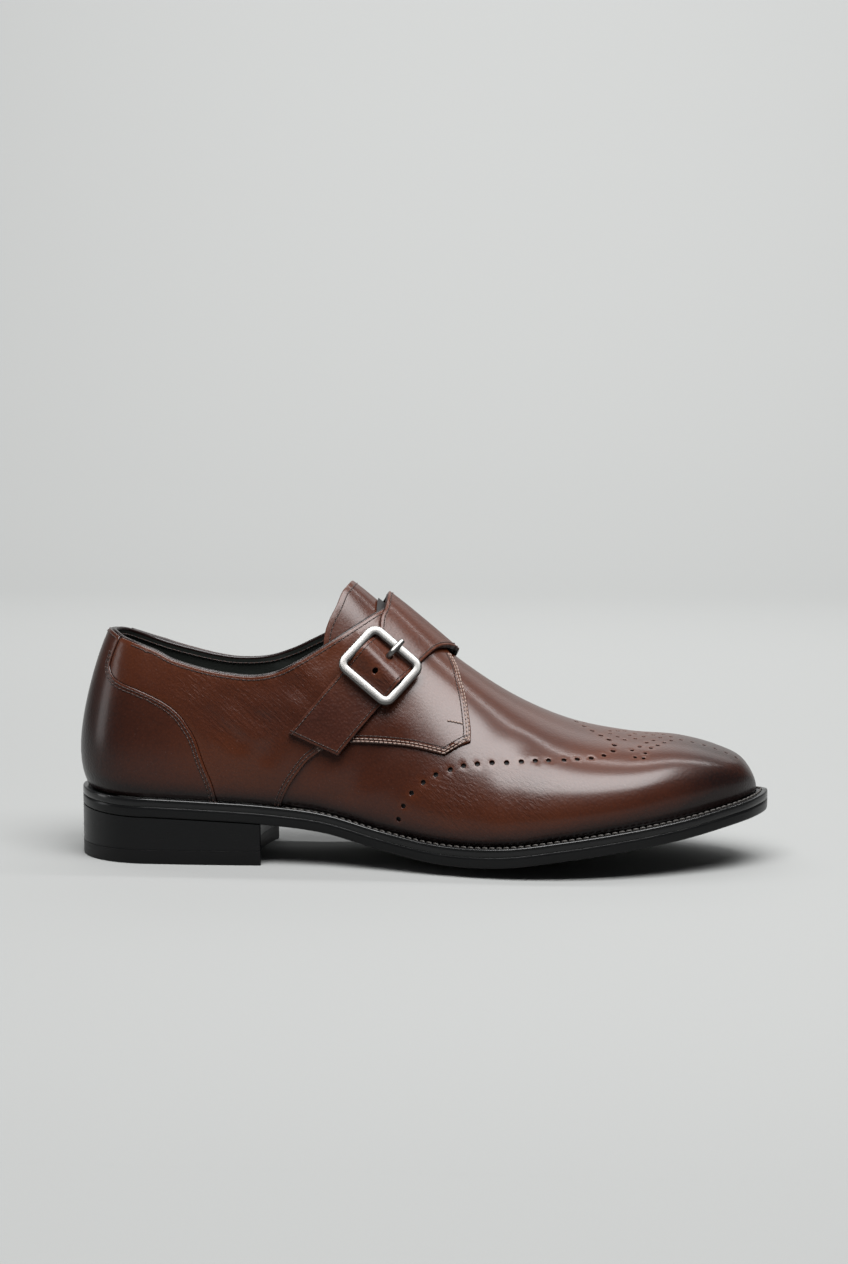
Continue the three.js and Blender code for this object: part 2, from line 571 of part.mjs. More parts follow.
// The leather loop that holds the centre bar down on the outer quarter, slotted for the prong.
function loopSolid() {
  const wall = new THREE.Shape();
  wall.absarc(0, centreBarHeight, loopRadius, -Math.PI / 2, Math.PI, false);
  wall.lineTo(-loopRadius, centreBarHeight - loopRadius + LOOP_WALL);
  wall.lineTo(-LOOP_FOOT, centreBarHeight - loopRadius + LOOP_WALL);
  wall.lineTo(-LOOP_FOOT, centreBarHeight - loopRadius);
  wall.closePath();
  wall.holes.push(new THREE.Path().absarc(0, centreBarHeight, CENTRE_BAR_RADIUS + CLEARANCE, 0, 2 * Math.PI));
  const slot = PRONG_WIDTH / 2 + CLEARANCE;
  const low = centreBarHeight - loopRadius + LOOP_WALL / 2;
  return solidFrom(acrossStrap(wall, LOOP_WIDTH))
    .subtract(box(-loopRadius - CLEARANCE, 2 * loopRadius, -slot, slot, low - LOOP_WALL, frameTop));
}

// Pieces of the upper
const upperSolid = lastShell((s) => upperFace(s) - UPPER_WALL, upperFace).subtract(collarOpening);
const tongueOuter = (s) => upperFace(s) - UPPER_WALL - CLEARANCE;
const tongueSolid = lastShell((s) => tongueOuter(s) - TONGUE_THICKNESS, tongueOuter)
  .intersect(prism(smooth(TONGUE_EDGE), -FAR, FAR));

const counterEdge = smooth(COUNTER_EDGE);
const behind = new THREE.Vector2(REAR - STACK, 0);
const counterOutline = [...counterEdge, behind.clone().setY(SKY), behind.clone().setY(0)];
const overlayBottom = (s) => upperFace(s) + CLEARANCE;
const counterSolid = lastShell(overlayBottom, (s) => overlayBottom(s) + COUNTER_THICKNESS)
  .intersect(prism(counterOutline, -FAR, FAR))
  .subtract(collarOpening);

const quarterRear = shifted(counterEdge, CLEARANCE);
const facing = [...smooth(VAMP_SEAM), ...smooth(FACING_FOOT).slice(1), ...smooth(FACING_FRONT)];
const quarterHead = [new THREE.Vector2(facing[facing.length - 1].x, SKY),
  new THREE.Vector2(quarterRear[quarterRear.length - 1].x, SKY)];
const outerQuarterOutline = [...facing, ...quarterHead, ...quarterRear.slice().reverse()];
const outerQuarterSolid = lastShell(overlayBottom, (s) => upperFace(s) + quarterTop)
  .intersect(prism(outerQuarterOutline, -FAR, middleY - CLEARANCE))
  .subtract(collarOpening);

const strapFoot = sidePoint(STRAP_REAR_INNER[0]);
const collarToStrap = [...collarLine.inner.filter(({ x }) => x < strapFoot.x), strapFoot];
const innerOutline = [...smooth(VAMP_SEAM), ...smooth(INNER_QUARTER_FRONT).slice(1),
  ...smooth(STRAP_REAR_INNER).reverse(), strapFoot.clone().setY(SKY), quarterHead[1],
  ...quarterRear.slice().reverse()];
// Up to the buckle the strap is straight, cut square to the buckle's face, and above it widens.
const halfStrap = STRAP_WIDTH / 2;
const pastBuckle = buckleHalf + BUCKLE_BAR_WIDTH / 2;
const tailEnd = outerSurfaceAt(tailMiddle, strapSeat).point.applyMatrix4(buckleFrame.clone().invert()).x;
function straightStrap() {
  const outline = new THREE.Shape([
    new THREE.Vector2(tailEnd - TAIL_SLANT, halfStrap),
    new THREE.Vector2(tailEnd + TAIL_SLANT, -halfStrap),
    new THREE.Vector2(pastBuckle, -halfStrap),
    new THREE.Vector2(pastBuckle, halfStrap),
  ]);
  const geometry = new THREE.ExtrudeGeometry(outline, { depth: BALL_WIDTH, bevelEnabled: false });
  return solidFrom(geometry.translate(0, 0, -BALL_WIDTH / 2).applyMatrix4(buckleFrame));
}
function strapCorner(across) {
  const corner = new THREE.Vector3(pastBuckle - LAP, across, strapSeat).applyMatrix4(buckleFrame);
  return new THREE.Vector2(corner.x, corner.z);
}
const pastStraight = (point) => point.clone().sub(onStrap(pastBuckle)).dot(strapAlong) > 0;
const wideStrapOutline = [
  strapCorner(-halfStrap),
  ...smooth(STRAP_FRONT_ABOVE).filter(pastStraight),
  ...smooth(STRAP_REAR_ABOVE).filter(pastStraight).reverse(),
  strapCorner(halfStrap),
];
function strapHoles() {
  const spare = cylinderAlongZ(SPARE_HOLE_RADIUS, 0, 2 * frameTop, SPARE_HOLE_PLACE);
  const prong = cylinderAlongZ(PRONG_HOLE_RADIUS, 0, 2 * frameTop, PRONG_HOLE_PLACE);
  return solidFrom(spare.applyMatrix4(buckleFrame)).add(solidFrom(prong.applyMatrix4(buckleFrame)));
}
const strapStations = stationList(7, 2, { from: 2, to: 6, steps: 7 });
const strapUnder = (s, point) => upperFace(s) + strapLift(point);
const strapOver = (s, point) => strapUnder(s, point) + STRAP_THICKNESS;
const outerStrap = lastShell(strapUnder, strapOver, strapStations, evenShares(24))
  .intersect(straightStrap().add(prism(wideStrapOutline, -FAR, middleY + LAP)))
  .subtract(strapHoles());
const strapSolid = lastShell(innerLift, (s, point) => innerLift(s, point) + innerDepth(point))
  .intersect(prism(innerOutline, middleY - LAP, FAR))
  .subtract(prism(above(collarToStrap), middleY - 2 * LAP, FAR))
  .add(outerStrap);

// Sole
const soleBottom = (s, across) => Math.max(0, underside(s) - camber(s, across));
const outsoleTop = (s, across) => underside(s) + OUTSOLE_THICKNESS - camber(s, across);
const weltBottom = (s, across) => outsoleTop(s, across) + CLEARANCE;
const weltTop = (s, across) => weltBottom(s, across) + WELT_THICKNESS;
const innerEdge = (s) => upperFace(s) - UPPER_WALL;
const outsoleSolid = soleLayer(weltProjection, outsoleTop, soleBottom);
const weltSolid = soleLayer(weltProjection, weltTop, weltBottom)
  .subtract(soleLayer(innerEdge, (s) => featherHeight(s) + STACK, (s) => underside(s) - STACK));
const insoleSolid = soleLayer((s) => innerEdge(s) - EDGE_PLAY,
  (s, across) => weltBottom(s, across) + INSOLE_THICKNESS, weltBottom);

const breastRadius = (BREAST_SPAN ** 2 / 4 + BREAST_HOLLOW ** 2) / (2 * BREAST_HOLLOW);
function heelPiece(top, bottom) {
  const heelMiddle = section(0).ridge * BALL_WIDTH;
  const corner = REAR + BREAST_CORNER;
  const block = box(REAR - BALL_WIDTH, corner, -FAR, FAR, -HEEL_HEIGHT, 2 * HEEL_HEIGHT);
  const centre = corner + breastRadius - BREAST_HOLLOW;
  const hollow = new THREE.CylinderGeometry(breastRadius, breastRadius, 4 * HEEL_HEIGHT, 96);
  hollow.rotateX(Math.PI / 2).translate(centre, heelMiddle, 0);
  return soleLayer(weltProjection, top, bottom).intersect(block).subtract(solidFrom(hollow));
}
const heelStackSolid = heelPiece((s) => underside(s) - CLEARANCE, () => TOP_LIFT_THICKNESS + CLEARANCE);
const topLiftSolid = heelPiece(() => TOP_LIFT_THICKNESS, () => 0);

// Finishes
function finish(color, roughness, metalness = 0) {
  return new THREE.MeshStandardMaterial({ color, roughness, metalness });
}
const brownLeather = finish(0x5a2a1c, 0.32);
const darkBrownLeather = finish(0x4a221a, 0.3);
const blackSole = finish(0x17181a, 0.38);
const heelRubber = finish(0x141516, 0.6);
const insoleLeather = finish(0x1b1f1c, 0.7);
const satinSteel = finish(0xc9c9c6, 0.3, 1);

const shoe = new THREE.Group();
function addPiece(parent, name, solid, material) {
  const mesh = new THREE.Mesh(geometryFrom(solid), material);
  mesh.name = name;
  parent.add(mesh);
}
addPiece(shoe, "outsole", outsoleSolid, blackSole);
addPiece(shoe, "welt", weltSolid, blackSole);
addPiece(shoe, "heel_stack", heelStackSolid, blackSole);
addPiece(shoe, "heel_top_lift", topLiftSolid, heelRubber);
addPiece(shoe, "insole", insoleSolid, insoleLeather);
addPiece(shoe, "upper", upperSolid, brownLeather);
addPiece(shoe, "tongue", tongueSolid, brownLeather);
addPiece(shoe, "heel_counter", counterSolid, darkBrownLeather);
addPiece(shoe, "lateral_quarter", outerQuarterSolid, brownLeather);
addPiece(shoe, "medial_quarter_strap", strapSolid, brownLeather);

const buckle = new THREE.Group();
buckle.applyMatrix4(buckleFrame);
addPiece(buckle, "buckle_frame", buckleFrameSolid(), satinSteel);
addPiece(buckle, "buckle_prong", prongSolid(), satinSteel);
addPiece(buckle, "buckle_loop", loopSolid(), darkBrownLeather);
shoe.add(buckle);

// The origin is on the floor under the middle of the whole shoe's box.
const whole = new THREE.Box3().setFromObject(shoe);
const middle = whole.getCenter(new THREE.Vector3());
shoe.position.set(-middle.x, -middle.y, -whole.min.z);

export default shoe;
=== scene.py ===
# %% [markdown]
# # Monk strap shoe, looks
#
# The solids in the frame are the shoe in plain facets. This script dresses them: leather cut in
# panels, punched holes, stitches, a lining, a soft buckle and a studio round it. A maker draws the
# panels on a wooden last and cuts them flat. The same is done here: one formula gives the last's
# surface, and every panel is cut on it as a flat pattern and bent back. That keeps all the pieces
# on one form, however their edges are drawn. Lengths are in millimetres until a mesh is made. In
# every cell s is a station along the last, w a share up its wall, uv a flat place, p a point.

# %% Start and frame
import math

import bpy
import numpy as np
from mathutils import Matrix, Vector, geometry


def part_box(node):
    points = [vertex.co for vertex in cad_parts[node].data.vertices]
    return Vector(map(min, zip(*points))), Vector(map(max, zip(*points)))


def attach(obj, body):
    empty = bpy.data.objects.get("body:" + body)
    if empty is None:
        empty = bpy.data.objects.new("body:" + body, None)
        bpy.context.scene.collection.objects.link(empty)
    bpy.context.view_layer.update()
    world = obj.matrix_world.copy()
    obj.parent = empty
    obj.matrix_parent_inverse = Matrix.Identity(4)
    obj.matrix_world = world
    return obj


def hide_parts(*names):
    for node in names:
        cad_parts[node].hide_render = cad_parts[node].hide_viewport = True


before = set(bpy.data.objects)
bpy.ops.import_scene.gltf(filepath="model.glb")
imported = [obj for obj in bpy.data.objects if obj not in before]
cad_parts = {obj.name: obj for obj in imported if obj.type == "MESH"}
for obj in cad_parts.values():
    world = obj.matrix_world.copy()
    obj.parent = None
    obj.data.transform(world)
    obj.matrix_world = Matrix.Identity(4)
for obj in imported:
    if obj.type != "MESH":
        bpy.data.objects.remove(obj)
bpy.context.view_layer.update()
rng = np.random.default_rng(7)
MM = 0.001

# %% [markdown]
# ## Sizes
#
# A last is described by its length, the width at the ball, the rise of the instep and the heights
# it stands at. Those could be measured off the solids one by one. They are typed here instead,
# the same driving sizes as the solids have, because a panel has to follow the form between the
# facets as well.

# %% Driving sizes
LAST_LENGTH, BALL_WIDTH, INSTEP_RISE = 296.6, 96.0, 106.2
HEEL_HEIGHT, TOE_SPRING, BALL_CAMBER = 22.2, 23.0, 5.9
WELT_PROJECTION, WELT_THICKNESS, OUTSOLE_THICKNESS = 5.2, 3.0, 4.8
TOP_LIFT_THICKNESS, INSOLE_THICKNESS = 6.2, 4.4
BREAST_CORNER, BREAST_HOLLOW, BREAST_SPAN = 82.0, 5.8, 66.0
CLEARANCE = 0.3
UPPER_WALL, QUARTER, COUNTER = 2.0, 1.3, 1.8
STRAP_THICKNESS, STRAP_WIDTH, STRAP_STAND_OFF = 2.0, 22.8, 2.3
LATERAL, MEDIAL = -1, 1
REAR = -LAST_LENGTH / 2
STACK = OUTSOLE_THICKNESS + WELT_THICKNESS + 2 * CLEARANCE
print("sole and welt together", STACK)

# %% [markdown]
# ## Sections of the last
#
# A last maker checks the form with card templates, one every couple of centimetres. Each row
# here is such a section, heel to toe, in shares of the sizes above: where it is, how wide it is on
# each side, where its ridge lies, and how far its wall bulges out. Shares are used so that a
# longer or wider shoe needs no new table. BACK holds what the very back of the heel has instead.

# %% Sections of the last
COLUMNS = ["at", "lateral", "medial", "ridge", "rise", "pitch", "spring", "camber", "welt",
           "kick_l", "flank_l", "kick_m", "flank_m", "low", "high", "crown"]
SECTIONS = np.array([
    [0.107, -0.279, 0.327, 0.024, 0.84, 0.919, 0, 0, 0.58, 0.073, -0.031, 0.073, -0.031, 0.2, 0.6, 0.84],
    [0.195, -0.283, 0.323, 0.023, 0.896, 0.874, 0, 0, 0.58, 0.073, -0.021, 0.063, -0.021, 0.18, 0.6, 0.84],
    [0.2825, -0.277, 0.306, 0.025, 0.973, 0.802, 0, 0, 0.6, 0.083, -0.021, 0.073, -0.021, 0.16, 0.6, 0.78],
    [0.37, -0.296, 0.298, 0.033, 1, 0.66, 0.015, 0.1, 0.62, 0.094, -0.042, 0.094, -0.031, 0.16, 0.58, 0.66],
    [0.458, -0.354, 0.328, 0.048, 0.881, 0.33, 0.07, 0.5, 0.72, 0.104, -0.063, 0.125, -0.042, 0.16, 0.58, 0.56],
    [0.5455, -0.433, 0.406, 0.063, 0.72, 0.03, 0.185, 1, 0.9, 0.104, -0.063, 0.115, -0.031, 0.17, 0.6, 0.52],
    [0.633, -0.492, 0.475, 0.071, 0.554, 0, 0.217, 1, 1, 0.094, -0.042, 0.094, 0, 0.2, 0.66, 0.52],
    [0.721, -0.5, 0.498, 0.071, 0.411, 0, 0.374, 0.8, 1, 0.083, 0, 0.083, 0.021, 0.24, 0.74, 0.54],
    [0.8085, -0.446, 0.458, 0.063, 0.326, 0, 0.539, 0.6, 1, 0.063, 0.021, 0.063, 0.031, 0.28, 0.8, 0.56],
    [0.8827, -0.348, 0.371, 0.052, 0.28, 0, 0.687, 0.4, 1, 0.042, 0.031, 0.042, 0.031, 0.32, 0.86, 0.58],
    [0.94, -0.24, 0.265, 0.044, 0.211, 0, 0.835, 0.25, 0.98, 0.031, 0.031, 0.031, 0.031, 0.36, 0.9, 0.6],
    [0.9805, -0.121, 0.154, 0.04, 0.132, 0, 0.939, 0.1, 0.95, 0.016, 0.021, 0.016, 0.021, 0.38, 0.92, 0.62],
    [1, 0.0375, 0.0375, 0.0375, 0, 0, 1, 0, 0.94, 0, 0, 0, 0, 0.4, 0.95, 0.64],
])
BACK = {"pitch": 1.0, "welt": 0.5, "kick": 0.111, "flank": -0.051, "low": 0.24, "high": 0.53, "crown": 0.82}
TIP = len(SECTIONS) - 1
FIRST = SECTIONS[0][0]
COL = {name: i for i, name in enumerate(COLUMNS)}


def beyond_tip(back):
    """A row mirrored past the tip, so that the curve through the rows ends round."""
    row = 2 * SECTIONS[TIP] - SECTIONS[TIP - back]
    row[0] = SECTIONS[TIP - back][0]
    return row


EXTENDED = np.array([SECTIONS[1], *SECTIONS, beyond_tip(1), beyond_tip(2)])
print("sections", len(SECTIONS), "of", len(COLUMNS), "shares")

# %% [markdown]
# ## Helpers for curves
#
# Four small helpers are used all through: a blend, an eased step, a bell, and a search by halves
# for the place where a rising value passes a mark. Blender's own curves could do some of it, but
# the panels need the answers for thousands of points at once.

# %% Helpers for curves
def mix(a, b, t):
    return a + (b - a) * t


def smoothstep(x, a, b):
    t = np.clip((np.asarray(x, float) - a) / (b - a), 0, 1)
    return t * t * (3 - 2 * t)


def bell(x):
    return np.exp(-(x**2))


def by_halves(low, high, is_short):
    """The place between low and high up to which is_short holds."""
    for _ in range(30):
        middle = (low + high) / 2
        short = is_short(middle)
        low, high = np.where(short, middle, low), np.where(short, high, middle)
    return (low + high) / 2


print("middle of 0 to 1 by halves", round(float(by_halves(0.0, 1.0, lambda x: x < 0.5)), 3))

# %% Smooth lines and lengths along them
def spline(points, steps=8):
    """A smooth line through points, with a few steps between each two."""
    points = np.asarray(points, float)
    rows, n = [], len(points)
    for i in range(n - 1):
        a, b, c, d = points[max(i - 1, 0)], points[i], points[i + 1], points[min(i + 2, n - 1)]
        v0, v1 = (c - a) / 2, (d - b) / 2
        for t in np.arange(steps) / steps:
            rows.append((2 * b - 2 * c + v0 + v1) * t**3 + (-3 * b + 3 * c - 2 * v0 - v1) * t**2 + v0 * t + b)
    return np.array([*rows, points[-1]])


def run_length(points):
    """Length along a line at each of its points."""
    return np.concatenate([[0], np.cumsum(np.linalg.norm(np.diff(points, axis=0), axis=-1))])


def at_length(line, length, at):
    """The line's columns at given lengths along it."""
    return np.column_stack([np.interp(at, length, line[:, i]) for i in range(line.shape[1])])


print("length of a 3 by 4 step", run_length(np.array([[0.0, 0.0], [3.0, 4.0]]))[-1])

# %% [markdown]
# ## The last's surface
#
# The last carries the whole shoe, so its surface comes before any leather. A scan would be one
# way and a lofted NURBS another. Here two numbers name a point: the station runs from -1 at the
# very back over 0 at the heel's widest section to the tip, and the share from 0 at the feather
# line, where upper and sole meet, to 1 on the ridge. Each section is a curve with four pulls.
# Past the back and past the ridge both fold over to the other side, so that a slope can be taken
# anywhere.

# %% The last's surface
def section(s):
    s = np.clip(np.asarray(s, float), 0, TIP - 1e-9)
    i = s.astype(int)
    t = (s - i)[..., None]
    a, b, c, d = EXTENDED[i], EXTENDED[i + 1], EXTENDED[i + 2], EXTENDED[i + 3]
    return 0.5 * (2 * b + (c - a) * t + (2 * a - 5 * b + 4 * c - d) * t**2 + (3 * b - a - 3 * c + d) * t**3)


def backness(s):
    """0 in front of the heel's widest section, 1 at the very back."""
    return np.where(np.asarray(s) < 0, np.sin(-np.minimum(s, 0) * math.pi / 2) ** 2, 0.0)


def underside(s):
    r = section(s)
    pitch = mix(r[..., COL["pitch"]], BACK["pitch"], backness(s))
    return pitch * HEEL_HEIGHT + r[..., COL["spring"]] * TOE_SPRING


def feather_height(s):
    return underside(s) + STACK


print("underside at the heel", round(float(underside(0.0)), 1), "and tip", round(float(underside(TIP)), 1))

# %% Folding over, and both ends of a section
def fold(s, side, w):
    s, side, w = (np.array(v, float) for v in np.broadcast_arrays(s, side, w))
    over = s < -1
    side[over] *= -1
    s[over] = -2 - s[over]
    over = w > 1
    side[over] *= -1
    w[over] = 2 - w[over]
    return np.minimum(s, TIP), side, w


def ends(s, side):
    """The section's foot on the feather line and its head on the ridge."""
    r = section(s)
    y = BALL_WIDTH * np.where(side < 0, r[..., COL["lateral"]], r[..., COL["medial"]])
    x = REAR + r[..., COL["at"]] * LAST_LENGTH
    ridge_y = r[..., COL["ridge"]] * BALL_WIDTH
    ridge_z = r[..., COL["rise"]] * INSTEP_RISE + feather_height(np.maximum(s, 0))
    turn = -np.minimum(s, 0) * math.pi / 2
    foot = np.stack([mix(x, REAR, np.sin(turn)), mix(ridge_y, y, np.cos(turn)), feather_height(s)], -1)
    return foot, np.stack([x, ridge_y, ridge_z], -1)


print("foot and ridge at the ball", *(end.round(1) for end in ends(6.0, LATERAL)))

# %% A point of the surface
def last(s, side, w):
    """Points of the last's surface."""
    s, side, w = fold(s, side, w)
    r = section(s)
    foot, ridge = ends(s, side)
    back = backness(s)

    def share(name, by_side=False):
        if by_side:
            return mix(np.where(side < 0, r[..., COL[name + "_l"]], r[..., COL[name + "_m"]]), BACK[name], back)
        return mix(r[..., COL[name]], BACK[name], back)

    kick, flank = BALL_WIDTH * share("kick", True), BALL_WIDTH * share("flank", True)
    out = foot[..., :2] - ridge[..., :2]
    width = np.hypot(out[..., 0], out[..., 1])
    out = out / np.maximum(width, 1e-9)[..., None]
    rise = ridge[..., 2] - foot[..., 2]
    u = 1 - w
    pulls = [u**4, 4 * w * u**3, 6 * w**2 * u**2, 4 * w**3 * u, w**4]
    radius = (pulls[0] * width + pulls[1] * (width + kick) + pulls[2] * (width + flank)
              + pulls[3] * share("crown") * width)
    height = rise * (pulls[1] * share("low") + pulls[2] * share("high") + pulls[3] + pulls[4])
    return np.stack([ridge[..., 0] + out[..., 0] * radius, ridge[..., 1] + out[..., 1] * radius,
                     foot[..., 2] + height], -1)


print("tip", last(TIP, LATERAL, 0.0).round(1), "very back", last(-1, LATERAL, 0.0).round(1))

# %% [markdown]
# ## Finding places on the last
#
# Seams are read off a side view as shares of the length and of the height at that place. These
# helpers turn such a pair into a station and a share. Sampling the surface and taking the nearest
# point would also work, but a search by halves is exact, so seams of two pieces meet.

# %% Finding places on the last
def share_at(s, side, z):
    return by_halves(np.zeros_like(z), np.ones_like(z), lambda w: last(s, side, w)[..., 2] < z)


def locate(x, z, side):
    """Station and share of the points seen at x and z on one side."""
    x, z = np.asarray(x, float), np.asarray(z, float)
    s = by_halves(np.full_like(x, -1.0), np.full_like(x, float(TIP)),
                  lambda s: last(s, side, share_at(s, side, z))[..., 0] < x)
    return s, share_at(s, side, z)


def station_at(at):
    at = np.asarray(at, float)
    return by_halves(np.zeros_like(at), np.full_like(at, float(TIP)), lambda s: section(s)[..., 0] < at)


def side_view(rows):
    """Shares of the length and of the section's rise, as x and z."""
    rows = np.asarray(rows, float)
    s = station_at(rows[:, 0])
    rise = section(s)[..., COL["rise"]] * INSTEP_RISE
    return np.stack([REAR + rows[:, 0] * LAST_LENGTH, feather_height(s) + rows[:, 1] * rise], -1)


def upper_face(s):
    """The upper's face: flush from the instep on, set in under the counter at the heel."""
    return -COUNTER * (1 - smoothstep(s, 0, 4))


print("station at half length", round(float(station_at(0.5)), 3))

# %% [markdown]
# ## The outline of the sole
#
# Welt and sole stick out past the feather line by a few millimetres, more at the toe than at the
# waist. Blender could offset a curve, but the offset has to stay level and square to the feather
# line, so it is worked out point by point. The frame's outsole then says how far the whole shoe
# was moved to sit over the origin, and every mesh made here moves along.

# %% The outline of the sole
def edge_point(s, side, distance):
    """Points of the feather line moved out level."""
    step = 1e-3
    s = np.asarray(s, float)
    foot = ends(s, side)[0]
    ahead, behind = ends(np.minimum(s + step, TIP), side)[0], ends(np.maximum(s - step, -1), side)[0]
    normal = np.stack([ahead[..., 1] - behind[..., 1], behind[..., 0] - ahead[..., 0]], -1)
    normal *= -np.asarray(side)[..., None]
    normal[s <= -1 + 1e-9] = [-1, 0]
    normal[s >= TIP - 1e-9] = [1, 0]
    normal /= np.linalg.norm(normal, axis=-1, keepdims=True)
    return foot[..., :2] + normal * np.asarray(distance)[..., None]


def both_edges(s, distance):
    return [edge_point(s, np.full_like(s, side), distance) for side in (-1.0, 1.0)]


def welt_projection(s):
    return WELT_PROJECTION * mix(section(s)[..., COL["welt"]], BACK["welt"], backness(s))


def spread_stations(back=15, count=150):
    """Stations from the very back to the tip, even along the shoe and closer together at the tip."""
    forward = station_at(FIRST + (1 - FIRST) * np.sin(np.linspace(0, math.pi / 2, count + 1)))
    forward[0], forward[-1] = 0, TIP
    return np.concatenate([np.linspace(-1, 0, back + 1)[:-1], forward])


print("stations along one side", len(spread_stations()))

# %% The move to the frame
def frame_shift():
    """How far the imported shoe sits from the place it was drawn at."""
    s = spread_stations()
    drawn = np.concatenate(both_edges(s, welt_projection(s)))
    low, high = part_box("outsole")
    packed = np.array([low.x + high.x, low.y + high.y]) / MM / 2
    return np.append(packed - (drawn.min(0) + drawn.max(0)) / 2, 0.0)


SHIFT = frame_shift()
print("shift to the frame, mm", SHIFT.round(2))

# %% [markdown]
# ## Creases and wear
#
# A shoe that has been lasted and tried on has soft folds behind the ball and at the quarters. A cloth simulation
# would give folds, but not these ones. They are listed as short dents, each with a low swell on both sides as
# real folds have: side, both ends as shares of the length and of the rise, half width, depth. WORN lists where
# the grain is wrinkled: side, place, radius.

# %% Creases and wear
CREASES = [
    (-1, 0.385, 0.05, 0.47, 0.42, 5.0, 0.5), (-1, 0.285, 0.22, 0.325, 0.52, 4.0, 0.45),
    (-1, 0.225, 0.46, 0.275, 0.36, 3.5, 0.5), (-1, 0.20, 0.40, 0.245, 0.27, 3.5, 0.4),
    (-1, 0.245, 0.50, 0.335, 0.50, 4.0, 0.35), (-1, 0.30, 0.56, 0.355, 0.44, 3.4, 0.35),
    (-1, 0.335, 0.58, 0.385, 0.66, 3.5, 0.3), (-1, 0.60, 0.10, 0.625, 0.55, 5.0, 0.3),
    (-1, 0.66, 0.12, 0.655, 0.70, 6.0, 0.35), (1, 0.23, 0.45, 0.29, 0.33, 3.5, 0.5),
    (1, 0.28, 0.52, 0.35, 0.42, 3.5, 0.45), (1, 0.60, 0.15, 0.64, 0.75, 5.0, 0.35),
    (1, 0.65, 0.15, 0.67, 0.8, 6.0, 0.35),
]
WORN = [(-1, 0.235, 0.42, 17), (-1, 0.33, 0.52, 13), (-1, 0.29, 0.36, 13), (-1, 0.18, 0.5, 10),
        (-1, 0.56, 0.30, 18), (-1, 0.66, 0.45, 16), (-1, 0.46, 0.62, 12), (1, 0.24, 0.42, 17),
        (1, 0.60, 0.5, 20), (1, 0.70, 0.5, 15)]
SWELL = 0.45


def on_last(rows, side):
    """Points of the last under places given in side view."""
    s, w = locate(*side_view(rows).T, side)
    return last(s, side, w)


crease_lines = [(side, on_last([[a0, q0], [a1, q1]], side), width, depth)
                for side, a0, q0, a1, q1, width, depth in CREASES]
worn_places = [(side, on_last([[at, share]], side)[0], radius) for side, at, share, radius in WORN]


print("creases", len(crease_lines), "worn places", len(worn_places))

# %% Depth of the creases, and wear
def crease(points, side):
    """How far the creases move points in or out."""
    total = np.zeros(points.shape[:-1])
    for own, (a, b), width, depth in crease_lines:
        along = b - a
        t = np.clip(((points - a) @ along) / (along @ along), 0, 1)
        gap = np.linalg.norm(points - (a + t[..., None] * along), axis=-1)
        profile = bell(gap / width) - SWELL * bell((gap - 2 * width) / width)
        total += np.where(np.sign(side) == own, depth * profile, 0)
    return -total


def worn(points, side):
    """How wrinkled the leather is, 0 to 1."""
    total = np.zeros(points.shape[:-1])
    for own, centre, radius in worn_places:
        near = bell(np.linalg.norm(points - centre, axis=-1) / radius)
        total = np.maximum(total, np.where(np.sign(side) == own, near, 0))
    return total


print("first crease, middle", round(float(crease(crease_lines[0][1].mean(0), LATERAL)), 2))

# %% [markdown]
# ## Charts: flat maps of the last
#
# A pattern cutter tapes the last, draws the panels on the tape, peels it off and lays it flat. A
# chart is that tape. OVER runs along the shoe and across the ridge, from the outer side, -1, to
# the inner side, 1; ROUND goes round the heel, where OVER would pull apart. A UV unwrap would be
# the usual way, but with a formula a point can go from the flat to the last and back exactly.

